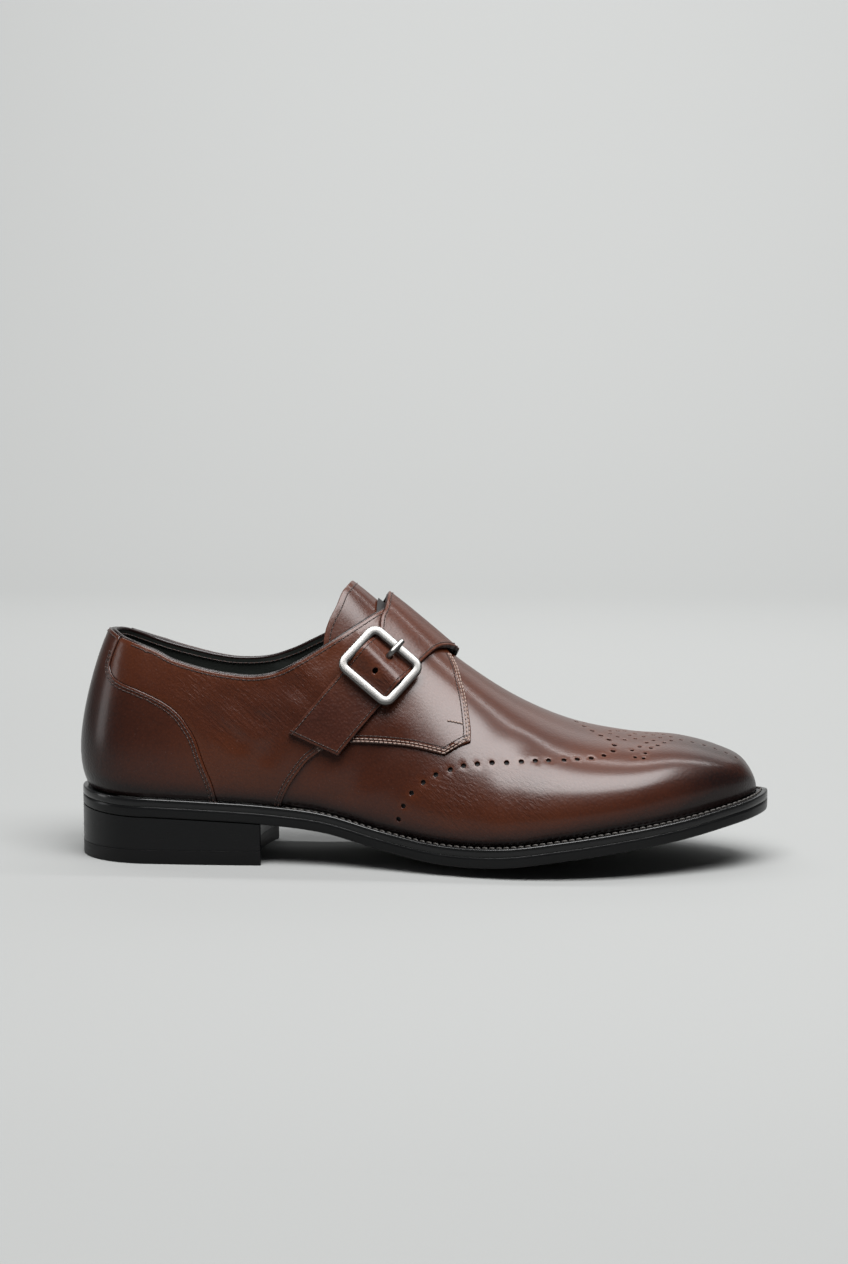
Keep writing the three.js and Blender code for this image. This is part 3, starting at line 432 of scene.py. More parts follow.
# %% Charts
class Chart:
    """A map between flat places (uv) and the last."""
    scale = np.array([26.0, 95.0])

    def __init__(self, over):
        self.over = over

    def where(self, uv):
        """Station, side and share of flat places."""
        u, v = uv[..., 0], uv[..., 1]
        if self.over:
            return u, np.where(v < 0, -1.0, 1.0), 1 - np.abs(v)
        return np.abs(u) - 1, np.where(u < 0, -1.0, 1.0), v

    def from_share(self, s, w, side):
        return np.stack([s, side * (1 - w)] if self.over else [side * (s + 1), w], -1)

    def from_side(self, rows, side, steps=8):
        """A smooth line given by shares in side view."""
        xz = spline(side_view(rows), steps)
        return self.from_share(*locate(xz[:, 0], xz[:, 1], side), side)

    def base(self, uv):
        return last(*self.where(uv))

    def slopes(self, uv, step=1e-3):
        du, dv = np.array([step, 0]), np.array([0, step])
        inner = np.where(uv[..., :1] + step > TIP, uv - du, uv) if self.over else uv
        a = (self.base(inner + du) - self.base(inner - du)) / (2 * step)
        b = (self.base(uv + dv) - self.base(uv - dv)) / (2 * step)
        return a, b

    def normal(self, uv):
        n = np.cross(*self.slopes(uv)) * (1 if self.over else -1)
        return n / np.maximum(np.linalg.norm(n, axis=-1, keepdims=True), 1e-12)

    def point(self, uv, offset):
        """Points above the last by an offset, or by a function of the place, creases included."""
        s, side, w = self.where(uv)
        base = last(s, side, w)
        distance = offset(s, side, w, base) if callable(offset) else offset
        distance = distance + crease(base, side) * smoothstep(w, 0.0, 0.12)
        return base + self.normal(uv) * np.asarray(distance)[..., None]

    def move(self, uv, vector):
        """Flat places after a small step in space."""
        a, b = self.slopes(uv)
        aa, ab, bb = (a * a).sum(-1), (a * b).sum(-1), (b * b).sum(-1)
        va, vb = (a * vector).sum(-1), (b * vector).sum(-1)
        det = np.maximum(aa * bb - ab * ab, 1e-9)
        return uv + np.stack([(va * bb - vb * ab) / det, (vb * aa - va * ab) / det], -1)

    def shift(self, line, distance):
        """The line moved sideways, to the right of its own direction seen from outside."""
        for _ in range(2):
            p, n = self.base(line), self.normal(line)
            along = np.gradient(p, axis=0)
            along /= np.maximum(np.linalg.norm(along, axis=-1, keepdims=True), 1e-9)
            line = self.move(line, np.cross(along, n) * distance / 2)
        return line

    def spaced(self, line, pitch, ends=False):
        """Places every pitch along a line, in the middle of each step or, with ends, at its ends."""
        length = run_length(self.base(line))
        count = max(int(round(length[-1] / pitch)), 2 if ends else 1)
        at = np.linspace(0, 1, count + 1) if ends else (np.arange(count) + 0.5) / count
        return at_length(line, length, at * length[-1])


OVER, ROUND = Chart(over=True), Chart(over=False)
print("up from the vamp's side", OVER.normal(np.array([[6.0, -0.5]])).round(2)[0])

# %% [markdown]
# ## Making a mesh
#
# Every piece ends as a mesh that rides on the shoe's one body, carries its material, and hides the solids it
# stands in for. Quads over a grid are wanted again and again, so they have a helper, as has joining several
# meshes in one.

# %% Making a mesh
def mesh_object(name, points, faces, material, slot_name, replaces=(), attributes=None):
    mesh = bpy.data.meshes.new(name)
    mesh.from_pydata(((np.asarray(points) + SHIFT) * MM).tolist(), [], [list(map(int, f)) for f in faces])
    mesh.validate()
    mesh.shade_smooth()
    for key, values in (attributes or {}).items():
        attribute = mesh.attributes.new(key, "FLOAT", "POINT")
        attribute.data.foreach_set("value", np.asarray(values, np.float32))
    obj = bpy.data.objects.new(name, mesh)
    bpy.context.scene.collection.objects.link(obj)
    mesh.materials.append(material)
    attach(obj, "root")
    if replaces:
        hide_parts(*replaces)
    print(name, len(faces), "faces")
    return obj


print("meshes so far, the solids", len(bpy.data.meshes))

# %% Quads over a grid, and joining
def grid_faces(rows, columns, closed_rows=False, closed_columns=False, flip=False):
    """Quads over a grid of points, row after row."""
    steps = np.arange(rows - (not closed_rows)), np.arange(columns - (not closed_columns))
    i, k = np.meshgrid(*steps, indexing="ij")
    j, m = (i + 1) % rows, (k + 1) % columns
    quads = np.stack([i * columns + k, i * columns + m, j * columns + m, j * columns + k], -1).reshape(-1, 4)
    return (quads[:, [0, 3, 2, 1]] if flip else quads).tolist()


def merge(parts):
    """One mesh from several (points, faces) pairs."""
    points, faces, start = [], [], 0
    for p, f in parts:
        points.append(p)
        faces += [[i + start for i in face] for face in f]
        start += len(p)
    return np.concatenate(points), faces


print("quads over a 3 by 4 grid", len(grid_faces(3, 4)))

# %% A tube along a line
def tube(path, radius, sides=8, closed=False, up=(0, 0, 1.0), flat=1.0):
    """A tube along a path, wider than high by flat."""
    path = np.asarray(path, float)
    along = np.roll(path, -1, 0) - np.roll(path, 1, 0) if closed else np.gradient(path, axis=0)
    along /= np.linalg.norm(along, axis=-1, keepdims=True)
    across = np.cross(along, np.broadcast_to(up, path.shape))
    across /= np.maximum(np.linalg.norm(across, axis=-1, keepdims=True), 1e-9)
    up = np.cross(across, along)
    a = np.arange(sides) * 2 * math.pi / sides
    ring = across[:, None] * np.cos(a)[None, :, None] * flat + up[:, None] * np.sin(a)[None, :, None]
    points = path[:, None] + ring * np.broadcast_to(radius, len(path))[:, None, None]
    faces = grid_faces(len(path), sides, closed, True)
    if not closed:
        faces += [list(range(sides))[::-1], [(len(path) - 1) * sides + k for k in range(sides)]]
    return points.reshape(-1, 3), faces


print("faces of a short tube", len(tube([[0, 0, 0], [1, 0, 0], [2, 0, 0]], 1.0)[1]))

# %% [markdown]
# ## Cutting a pattern piece
#
# Leather is cut flat with a knife, and the punch takes out round holes. Booleans on a bent sheet
# leave slivers. Here the outline and its holes are laid out flat, filled with an even grid of
# points and joined into triangles, with every edge of the outline kept.

# %% Cutting a pattern piece
def inside(points, loops, batch=4000):
    """Even-odd test of points against closed loops, all in one plane."""
    hits = np.zeros(len(points), bool)
    for a in loops:
        b = np.roll(a, -1, axis=0)
        rise = np.where(b[:, 1] == a[:, 1], 1e-12, b[:, 1] - a[:, 1])
        for start in range(0, len(points), batch):
            p = points[start:start + batch]
            straddle = (a[None, :, 1] > p[:, None, 1]) != (b[None, :, 1] > p[:, None, 1])
            cross = a[None, :, 0] + (p[:, None, 1] - a[None, :, 1]) * (b[:, 0] - a[:, 0])[None] / rise[None]
            hits[start:start + batch] ^= (np.sum(straddle & (p[:, None, 0] < cross), axis=1) % 2).astype(bool)
    return hits


def nearest(points, others, batch=2000):
    """Distance of each point to the nearest of the others."""
    return np.concatenate([np.sqrt(((points[i:i + batch, None] - others[None])**2).sum(-1).min(1))
                           for i in range(0, len(points), batch)])


def area(loop):
    x, y = loop[:, 0], loop[:, 1]
    return 0.5 * np.sum(x * np.roll(y, -1) - y * np.roll(x, -1))


print("area of a unit square", area(np.array([[0, 0], [1, 0], [1, 1], [0, 1.0]])))

# %% Filling an outline with triangles
def triangulate(chart, loops, step):
    """Triangles of a pattern piece: its outline, its holes and an even grid between them."""
    flat = [loop * chart.scale for loop in loops]
    flat = [f if (area(f) > 0) == (i == 0) else f[::-1] for i, f in enumerate(flat)]
    edge = np.concatenate(flat)
    low, high = flat[0].min(0), flat[0].max(0)
    ys = np.arange(low[1] + step / 2, high[1], step * 0.87)
    gx, gy = np.meshgrid(np.arange(low[0] + step / 2, high[0], step), ys)
    gx = gx + (np.arange(len(ys)) % 2)[:, None] * step / 2
    grid = np.stack([gx.ravel(), gy.ravel()], -1)
    grid = grid[inside(grid, flat)]
    grid = grid[nearest(grid, edge) > 0.55 * step]
    edges, start = [], 0
    for f in flat:
        edges += [(start + i, start + (i + 1) % len(f)) for i in range(len(f))]
        start += len(f)
    result = geometry.delaunay_2d_cdt([Vector(p) for p in np.concatenate([edge, grid])], edges, [], 0, 1e-5)
    points = np.array([[p[0], p[1]] for p in result[0]])
    faces = np.array([f for f in result[2] if len(f) == 3])
    corners = points[faces]
    turned = np.cross(corners[:, 1] - corners[:, 0], corners[:, 2] - corners[:, 0])
    keep = inside(corners.mean(1), flat) & (np.abs(turned) > 1e-7)
    faces = np.where((turned < 0)[:, None], faces[:, ::-1], faces)[keep]
    used = np.unique(faces)
    index = np.full(len(points), -1)
    index[used] = np.arange(len(used))
    return points[used] / chart.scale, index[faces], edge / chart.scale


sample = np.array([[5, -0.6], [6, -0.6], [6, -0.4], [5, -0.4]])
print("triangles in a small piece", len(triangulate(OVER, [sample], 4.0)[1]))

# %% Free edges of a sheet
def boundary_loops(faces):
    """The free edges of a sheet, as closed loops of its points."""
    pairs = {(int(a), int(b)) for f in faces for a, b in ((f[0], f[1]), (f[1], f[2]), (f[2], f[0]))}
    following = {a: b for a, b in pairs if (b, a) not in pairs}
    loops = []
    while following:
        start, at = next(iter(following.items()))
        loop = [start]
        del following[start]
        while at != start and at in following:
            loop.append(at)
            at = following.pop(at)
        if at == start and len(loop) > 2:
            loops.append(loop)
    return loops


print("a triangle has", len(boundary_loops([[0, 1, 2]])), "free edge loop")

# %% [markdown]
# ## A leather panel
#
# A cut panel isn't a flat sticker: it has a thickness, and the knife's edge is rubbed round. A solidify and a
# bevel modifier would round the outline but also pinch round the small holes. So the face is bent over the last,
# a quarter round follows each free edge, and a wall goes down to the layer below. Three values go along with each
# point for the finish: how near an edge it is, how light the burnished colour is there with painted shade along
# the feather line and down the walls of edges and holes, and how wrinkled.

# %% A leather panel
GLOW_SPOTS = ((0.20, 0.07, 0.16, 0.16), (0.36, 0.10, 0.15, 0.13), (0.60, 0.17, 0.16, 0.09))
ROUNDING = (30, 60, 90)
# Painted shade: each ring down a cut wall is darker by this step, so punched holes and the gaps at panel edges
# read dark; it also stands for the dark stain on a cut edge.
WALL_STAIN_AND_SHADE, EDGE_REACH = 0.2, 1.2


def tone_with_feather_shade(chart, uv):
    """How light the leather is: burnished dark at toe and heel, lighter higher up the wall and in spots low on
    the sides, with painted shade along the feather line.
    """
    s, side, w = chart.where(uv)
    p = last(s, side, w)
    at = (p[..., 0] - REAR) / LAST_LENGTH
    tone_and_shade = 0.40 + 0.14 * smoothstep(w, 0.34, 0.60)
    for place, reach, share, strength in GLOW_SPOTS:
        tone_and_shade += strength * bell((at - place) / reach) * bell((w - share) / 0.16)
    tone_and_shade -= 0.36 * smoothstep(at, 0.82, 0.97) + 0.20 * smoothstep(at, 0.12, 0.01)
    # Painted shade: darker close to the feather line, where the upper tucks into the crease at the welt; the
    # wider band is partly burnish.
    height = p[..., 2] - feather_height(s)
    tone_and_shade -= 0.3 * smoothstep(height, 9.0, 2.0) + 0.5 * smoothstep(height, 3.2, 0.9)
    return tone_and_shade


print("tone at the toe and on the side", tone_with_feather_shade(OVER, np.array([[11.9, -0.5], [5.0, -0.8]])).round(2))

# %% Face, rounded edge and wall
def panel(name, chart, loops, face, base, material, slot_name, replaces, step=2.4, fillet=0.4, tone_and_shade=0.0):
    """A leather piece: its face, a rounded edge all round, and a wall down to the base."""
    uv, faces, edge = triangulate(chart, loops, step)
    top, normal = chart.point(uv, face), chart.normal(uv)
    count = len(top)
    points, owner, wall_stain_and_shade = [top.copy()], [np.arange(count)], [np.zeros(count)]
    all_faces = [faces if chart.over else faces[:, ::-1]]
    for loop in map(np.array, boundary_loops(faces)):
        p, n = top[loop], normal[loop]
        along = np.roll(p, -1, axis=0) - np.roll(p, 1, axis=0)
        along /= np.maximum(np.linalg.norm(along, axis=-1, keepdims=True), 1e-9)
        inward = np.cross(n, along) * (1 if chart.over else -1)
        points[0][loop] = p + inward * fillet
        turns = [math.radians(a) for a in ROUNDING]
        below = [p + inward * fillet * (1 - math.sin(a)) - n * fillet * (1 - math.cos(a)) for a in turns]
        rings = [loop]
        for i, ring in enumerate([*below, chart.point(uv[loop], base)]):
            rings.append(count + np.arange(len(loop)))
            points.append(ring)
            owner.append(loop)
            # Painted shade down the wall, with the cut edge's stain.
            wall_stain_and_shade.append(np.full(len(loop), WALL_STAIN_AND_SHADE * i))
            count += len(loop)
        for upper, lower in zip(rings, rings[1:]):
            ring = np.stack([upper, lower, np.roll(lower, -1), np.roll(upper, -1)], -1)
            all_faces.append(ring if chart.over else ring[:, ::-1])
    owner = np.concatenate(owner)
    near = nearest(uv * chart.scale, edge * chart.scale)
    s, side, w = chart.where(uv)
    # The tone value carries burnish together with painted shade along the feather line and down the cut walls.
    attributes = {"edge": np.exp(-near / EDGE_REACH)[owner],
                  "tone_and_shade": tone_with_feather_shade(chart, uv)[owner] + tone_and_shade - np.concatenate(wall_stain_and_shade),
                  "wear": worn(last(s, side, w), side)[owner]}
    lists = [f for part in all_faces for f in part.tolist()]
    return mesh_object(name, np.concatenate(points), lists, material, slot_name, replaces, attributes)


print("rings down a rounded edge", len(ROUNDING) + 1)

# %% [markdown]
# ## Stitches
#
# A machine sews a row of short threads, and each one dives into its needle hole. A dashed texture is cheap but
# lies flat in the light. Here every stitch is a small bent thread, with a small black body sunk between it and
# the next as painted shade in the needle hole. They are gathered while the panels are made and become one mesh
# per colour at the end, because thousands of small objects would be slow.

# %% Stitches
stitch_bank = {"light": [], "dark": []}
needle_shade_bank = []
PROFILE_AT = np.array([-0.5, -0.36, 0, 0.36, 0.5])
PROFILE_LIFT = np.array([-0.75, 0.35, 0.62, 0.35, -0.75])
PROFILE_SIZE = np.array([0.55, 0.95, 1.05, 0.95, 0.55])
THREAD_SIDES = 6


def stitch_parts(places, along, normal, length=1.9, radius=0.3, sink=0.08, slant=0.0):
    """One short thread per place, its ends going down into the leather."""
    turned = along * math.cos(slant) + np.cross(normal, along) * math.sin(slant)
    across = np.cross(normal, turned)
    a = np.arange(THREAD_SIDES) * 2 * math.pi / THREAD_SIDES
    around = across[:, None] * np.cos(a)[:, None] + normal[:, None] * np.sin(a)[:, None]
    lift = PROFILE_LIFT * radius - sink
    centre = places[:, None] + turned[:, None] * PROFILE_AT[:, None] * length + normal[:, None] * lift[:, None]
    points = centre[:, :, None] + around[:, None] * (PROFILE_SIZE * radius)[:, None, None]
    one = np.array(grid_faces(len(PROFILE_AT), THREAD_SIDES, closed_columns=True))
    per_thread = len(PROFILE_AT) * THREAD_SIDES
    faces = one[None] + (np.arange(len(places)) * per_thread)[:, None, None]
    return points.reshape(-1, 3), faces.reshape(-1, 4).tolist()


def stitches(chart, line, offset, shift=0.0, pitch=2.3, bank="dark", length=None, radius=0.26):
    """Sews along a line, moved sideways by shift."""
    places = chart.spaced(chart.shift(line, shift) if shift else line, pitch)
    if len(places) < 3:
        return
    p, n = chart.point(places, offset), chart.normal(places)
    along = np.gradient(p, axis=0)
    along /= np.linalg.norm(along, axis=-1, keepdims=True)
    jitter = rng.normal(0, 0.04, (len(p), 1))
    stitch_bank[bank].append(stitch_parts(p + along * jitter, along, n, length or pitch * 0.78, radius))
    # Painted shade: a small black body sunk between each two stitches stands for the shade in the needle hole.
    needle_shade_bank.append(stitch_parts((p[:-1] + p[1:]) / 2, along[:-1], n[:-1], 0.62, 0.3, sink=0.2))


print("faces in one stitch", len(PROFILE_AT) * THREAD_SIDES - THREAD_SIDES)

# %% [markdown]
# ## Node helpers and the shared grain
#
# Calf leather has fine pores, drawn-out wrinkles where it bends, broad patches where it took the
# dye unevenly, and specks of dust. A photograph of leather would bring someone's picture along, so
# the grain is made from noise. It is one node group, because all four leathers use it, and it puts
# out only a normal and masks. The sewing, the sole and the metal share a plainer group.

# %% Node helpers and the shared grain
def put(tree, kind, inputs, **settings):
    """A node; each input gets a constant, or the output that feeds it."""
    made = tree.nodes.new("ShaderNode" + kind)
    for key, value in settings.items():
        setattr(made, key, value)
    feed(tree, made, inputs)
    return made.outputs


def feed(tree, node, inputs):
    for key, value in inputs.items():
        if isinstance(value, bpy.types.NodeSocket):
            tree.links.new(value, node.inputs[key])
        else:
            node.inputs[key].default_value = value


def noise(tree, vector, scale, detail=2.0, distortion=0.0):
    inputs = {"Vector": vector, "Scale": scale, "Detail": detail, "Distortion": distortion}
    return put(tree, "TexNoise", inputs)["Fac"]


def new_group(name, inputs, outputs):
    """A node group with float inputs, and outputs given as name and kind."""
    group = bpy.data.node_groups.new(name, "ShaderNodeTree")
    for key, value in inputs.items():
        kind = "NodeSocketVector" if isinstance(value, tuple) else "NodeSocketFloat"
        group.interface.new_socket(key, in_out="INPUT", socket_type=kind).default_value = value
    for key, kind in outputs.items():
        group.interface.new_socket(key, in_out="OUTPUT", socket_type="NodeSocket" + kind)
    return group, group.nodes.new("NodeGroupInput").outputs, group.nodes.new("NodeGroupOutput")


print("node groups so far", len(bpy.data.node_groups))

# %% Calf grain
def grain_group():
    """Pores, wrinkles, worn folds and dust, as a normal and three masks."""
    group, given, leave = new_group(
        "calf_grain", {"Pebble": 0.25, "Wrinkle": 0.2, "Pores": 900.0, "Wear": 0.0},
        {"Normal": "Vector", "Cavity": "Float", "Patch": "Float", "Dust": "Float"})
    place = put(group, "TexCoord", {})["Object"]
    pores = put(group, "TexVoronoi", {"Vector": place, "Scale": given["Pores"], "Smoothness": 0.6},
                feature="SMOOTH_F1")["Distance"]
    drawn_out = put(group, "Mapping", {"Vector": place, "Rotation": (0, 0.5, 0), "Scale": (1, 1, 0.35)})
    along_folds = put(group, "Mapping", {"Vector": place, "Rotation": (0, math.radians(42), 0),
                                         "Scale": (7, 1, 1)}, vector_type="TEXTURE")
    layers = ((0.0005, given["Wear"], noise(group, along_folds["Vector"], 900, 3, 0.5)),
              (0.0008, given["Wrinkle"], noise(group, drawn_out["Vector"], 150, 4, 0.6)),
              (0.0003, given["Pebble"], pores),
              (0.00005, 0.35, noise(group, place, 2600, 2)))
    normal = {}
    for depth, strength, height in layers:
        bump = put(group, "Bump", {"Distance": depth, "Strength": strength, "Height": height, **normal})
        normal = {"Normal": bump["Normal"]}
    dust = put(group, "MapRange", {"Value": noise(group, place, 1500), "From Min": 0.68, "From Max": 0.78})
    feed(group, leave, {**normal, "Cavity": pores, "Patch": noise(group, place, 22, 3),
                        "Dust": dust["Result"]})
    return group


GRAIN = grain_group()
print("nodes in the grain", len(GRAIN.nodes))

# %% Fine unevenness
def uneven_group():
    """Fine unevenness: a roughness between two limits, and a slight bump."""
    group, given, leave = new_group(
        "fine_unevenness",
        {"Scale": 800.0, "Stretch": (1.0, 1.0, 1.0), "Smooth": 0.3, "Rough": 0.5, "Bump": 0.0},
        {"Roughness": "Float", "Normal": "Vector"})
    place = put(group, "TexCoord", {})["Object"]
    vector = put(group, "Mapping", {"Vector": place, "Scale": given["Stretch"]})["Vector"]
    height = noise(group, vector, given["Scale"], 4)
    limits = put(group, "MapRange", {"Value": height, "To Min": given["Smooth"], "To Max": given["Rough"]})
    bump = put(group, "Bump", {"Strength": given["Bump"], "Distance": 0.0002, "Height": height})
    feed(group, leave, {"Roughness": limits["Result"], "Normal": bump["Normal"]})
    return group


UNEVEN = uneven_group()
print("nodes in the unevenness", len(UNEVEN.nodes))

# %% [markdown]
# ## Leather and the other finishes
#
# Burnishing rubs dark cream into the toe and the heel and leaves the middle of each panel glowing. The dark at
# the seams is painted shade down the cut walls, with a little edge stain, and the dark along the feather line is
# painted shade with some burnish. The darkness was worked out for each point of a panel, so the finish only has
# to read it: pores and patches nudge it a little, cut edges are lighter, partly burnish and partly a painted
# highlight, and a ramp of three browns turns it into colour. The gloss is mostly a thin coat, like the wax on the
# real shoe; a strong plain reflection would lay a grey film over the brown.

# %% Leather and the other finishes
DEEP, CHESTNUT, GLOW = (0.0055, 0.0019, 0.0016), (0.0285, 0.0070, 0.0030), (0.049, 0.0112, 0.0026)
DUST_COLOUR, DUST_AMOUNT = (0.35, 0.3, 0.28, 1), 0.06
# The edge share lightens the leather near cut edges: partly burnish, partly a painted highlight on the rounded
# edge.
PATCH_SHARE, EDGE_BURNISH_AND_HIGHLIGHT, PORE_SHARE = 0.55, 0.14, -0.16
RAMP = (0.25, 0.64, 1.0)
WAX_ROUGHNESS, LEATHER_SHINE = 0.22, 0.09


def shader(name):
    material = bpy.data.materials.new(name)
    material.use_nodes = True
    return material, material.node_tree, material.node_tree.nodes["Principled BSDF"]


def leather(name, middle, light, coat, roughness=0.34, pebble=0.25, wrinkle=0.2, pores=900.0):
    """Burnished leather: the darkness of each point, burnish and painted shade together, picks its brown; the
    grain roughens it.
    """
    material, tree, bsdf = shader(name)
    tone_and_shade, edge, wear = (put(tree, "Attribute", {}, attribute_name=key)["Fac"]
                        for key in ("tone_and_shade", "edge", "wear"))
    grain = put(tree, "Group", {"Pebble": pebble, "Wrinkle": wrinkle, "Pores": pores, "Wear": wear},
                node_tree=GRAIN)
    # Pores, patches, and the edge term, which is partly a painted highlight, shift the tone.
    for mask, share in ((grain["Patch"], PATCH_SHARE), (edge, EDGE_BURNISH_AND_HIGHLIGHT), (grain["Cavity"], PORE_SHARE)):
        tone_and_shade = put(tree, "Math", {0: mask, 1: share, 2: tone_and_shade}, operation="MULTIPLY_ADD")[0]
    brown = put(tree, "ValToRGB", {"Fac": tone_and_shade})["Color"]
    stops = brown.node.color_ramp.elements
    stops.new(RAMP[1])
    for stop, place, colour in zip(stops, RAMP, (DEEP, middle, light)):
        stop.position, stop.color = place, (*colour, 1)
    dust = put(tree, "Math", {0: grain["Dust"], 1: DUST_AMOUNT}, operation="MULTIPLY")[0]
    colour = put(tree, "Mix", {"Factor": dust, "A": brown, "B": DUST_COLOUR}, data_type="RGBA")["Result"]
    limits = {"To Min": roughness - 0.07, "To Max": roughness + 0.12}
    rough = put(tree, "MapRange", {"Value": grain["Patch"], **limits})
    feed(tree, bsdf, {"Base Color": colour, "Roughness": rough["Result"], "Normal": grain["Normal"],
                      "Coat Weight": coat, "Coat Roughness": WAX_ROUGHNESS, "Specular IOR Level": LEATHER_SHINE})
    return material


print("places of the three browns", RAMP)

# %% A finish of one colour
def plain(name, colour, roughness, specular=0.3, bump=0.5, scale=2500.0, stretch=(1, 1, 1), coat=0.0,
          metallic=0.0, spread=0.08):
    """A finish of one colour with uneven roughness and a fine bump."""
    material, tree, bsdf = shader(name)
    uneven = put(tree, "Group", {"Scale": scale, "Stretch": stretch, "Smooth": roughness - spread,
                                 "Rough": roughness + spread, "Bump": bump}, node_tree=UNEVEN)
    feed(tree, bsdf, {"Base Color": (*colour, 1), "Roughness": uneven["Roughness"], "Normal": uneven["Normal"],
                      "Metallic": metallic, "Coat Weight": coat, "Coat Roughness": 0.12,
                      "Specular IOR Level": specular})
    return material


print("plain finishes share", UNEVEN.name)

# %% Every finish of the shoe
LAYERS = {"scale": 1100, "stretch": (0.06, 0.06, 1)}
vamp_leather = leather("vamp_leather", CHESTNUT, GLOW, coat=0.42, roughness=0.36, pebble=0.30)
counter_leather = leather("counter_leather", CHESTNUT, GLOW, coat=0.40, roughness=0.36, pebble=0.24)
strap_leather = leather("strap_leather", (0.028, 0.0076, 0.0042), (0.056, 0.0152, 0.0060), coat=0.30,
                        roughness=0.42, pebble=0.55, wrinkle=0.12, pores=800.0)
tongue_leather = leather("tongue_leather", (0.026, 0.0070, 0.0036), (0.053, 0.014, 0.0055), coat=0.34)
lining_leather = plain("lining_leather", (0.0078, 0.0095, 0.0080), 0.62, bump=0.4, scale=900)
sole_black = plain("sole_black", (0.0025, 0.0026, 0.0028), 0.3, specular=0.16, bump=0.25, coat=0.06, **LAYERS)
welt_black = plain("welt_black", (0.0025, 0.0026, 0.0028), 0.3, specular=0.18, bump=0.2, coat=0.32, **LAYERS)
heel_rubber = plain("heel_rubber", (0.003, 0.003, 0.0032), 0.42, specular=0.16, bump=0.3, **LAYERS)
thread_dark = plain("thread_dark", (0.0225, 0.010, 0.0075), 0.5)
thread_light = plain("thread_light", (0.17, 0.120, 0.100), 0.5)
welt_thread = plain("welt_thread", (0.031, 0.028, 0.025), 0.5)
# Near-black finish for painted shade in punched holes and needle holes.
hole_shade_black = plain("hole_shade_black", (0.004, 0.003, 0.003), 0.8, specular=0.5, bump=0.0, scale=800)
buckle_steel = plain("buckle_steel", (0.15, 0.147, 0.142), 0.34, specular=0.5, bump=0.03, scale=2200,
                     metallic=1.0, spread=0.07)
print("materials", len(bpy.data.materials))

# %% [markdown]
# ## Outlines of the pieces
#
# These are the maker's pattern lines, drawn once and shared: where two panels meet, both are cut
# along the same line. They could be drawn as Blender curves on the last, but typed as shares of
# the length and of the rise they stay right when the shoe is made longer or higher. COLLAR has
# two heights, for the outer and the inner side.

# %% Outlines of the pieces
COLLAR = np.array([
    [-0.05, 0.795, 0.795], [0.02, 0.802, 0.8], [0.04, 0.803, 0.795], [0.06, 0.778, 0.765],
    [0.085, 0.753, 0.73], [0.116, 0.714, 0.692], [0.142, 0.663, 0.658], [0.181, 0.613, 0.614],
    [0.219, 0.575, 0.584], [0.264, 0.546, 0.573], [0.301, 0.561, 0.6], [0.331, 0.602, 0.638],
    [0.368, 0.676, 0.703], [0.404, 0.789, 0.8], [0.432, 0.9, 0.905], [0.449, 0.966, 0.968],
    [0.458, 1.0, 1.0],
])
COUNTER_EDGE = [
    [0.209, 0.0], [0.208, 0.012], [0.202, 0.088], [0.19, 0.184], [0.179, 0.286], [0.167, 0.351],
    [0.154, 0.406], [0.137, 0.453], [0.115, 0.496], [0.092, 0.53], [0.058, 0.571], [0.045, 0.624],
    [0.048, 0.683], [0.058, 0.767],
]
VAMP_SEAM = [[0.305, 0.0], [0.306, 0.025], [0.317, 0.093], [0.332, 0.159], [0.346, 0.21], [0.361, 0.248]]
FACING_FOOT = [[0.361, 0.248], [0.384, 0.296], [0.408, 0.332], [0.468, 0.41], [0.507, 0.456], [0.547, 0.49]]
FACING_FRONT = [[0.583, 0.627], [0.582, 0.704], [0.574, 0.831], [0.565, 0.908], [0.554, 0.969], [0.536, 1.0]]
BAR_TACK = [[0.548, 0.668], [0.556, 0.68], [0.571, 0.698]]
INNER_QUARTER_FRONT = [[0.361, 0.248], [0.42, 0.4], [0.48, 0.6], [0.52, 0.79], [0.545, 0.93], [0.551, 1.0]]
STRAP_REAR_ABOVE = [[0.439, 0.88], [0.446, 0.949], [0.446, 0.986], [0.445, 1.0]]
STRAP_FRONT_ABOVE = [[0.505, 0.855], [0.521, 0.945], [0.534, 0.985], [0.546, 1.0]]
STRAP_REAR_INNER = [[0.404, 0.79], [0.425, 0.875], [0.438, 0.945], [0.445, 1.0]]
TONGUE_REAR = [[0.38, 0.6], [0.366, 0.66], [0.366, 0.729], [0.373, 0.797], [0.382, 0.857], [0.391, 0.932],
               [0.397, 0.965], [0.403, 0.998]]
TAIL_MIDDLE, BUCKLE_MIDDLE = (0.349, 0.281), (0.447, 0.708)
NEAR_FEATHER = 0.999

collar_xz = {LATERAL: spline(side_view(COLLAR[:, [0, 1]])), MEDIAL: spline(side_view(COLLAR[:, [0, 2]]))}
collar_end = float(locate(*side_view(COLLAR[-1:, :2]).T, LATERAL)[0][0])


print("collar ends at station", round(collar_end, 2))

# %% Lines on the last
def collar_share(s, side):
    """Share of the collar line at each station."""
    line = collar_xz[side]

    def is_below(w):
        p = last(s, side, w)
        return p[..., 2] < np.interp(p[..., 0], line[:, 0], line[:, 1])
    return by_halves(np.zeros_like(s), np.ones_like(s), is_below)


def collar_line(chart, s_from, s_to, side, count=90):
    s = np.linspace(s_from, s_to, count)
    return chart.from_share(s, collar_share(s, side), side)


def join(chart, *lines, pitch=1.5):
    """One closed outline from lines that follow each other."""
    loop = np.concatenate([chart.spaced(line, pitch, ends=True)[:-1] for line in lines])
    gap = np.linalg.norm((np.roll(loop, -1, 0) - loop) * chart.scale, axis=-1)
    return loop[gap > 0.05]


def along_feather(s_from, s_to, count, v):
    return np.stack([np.linspace(s_from, s_to, count), np.full(count, v)], -1)


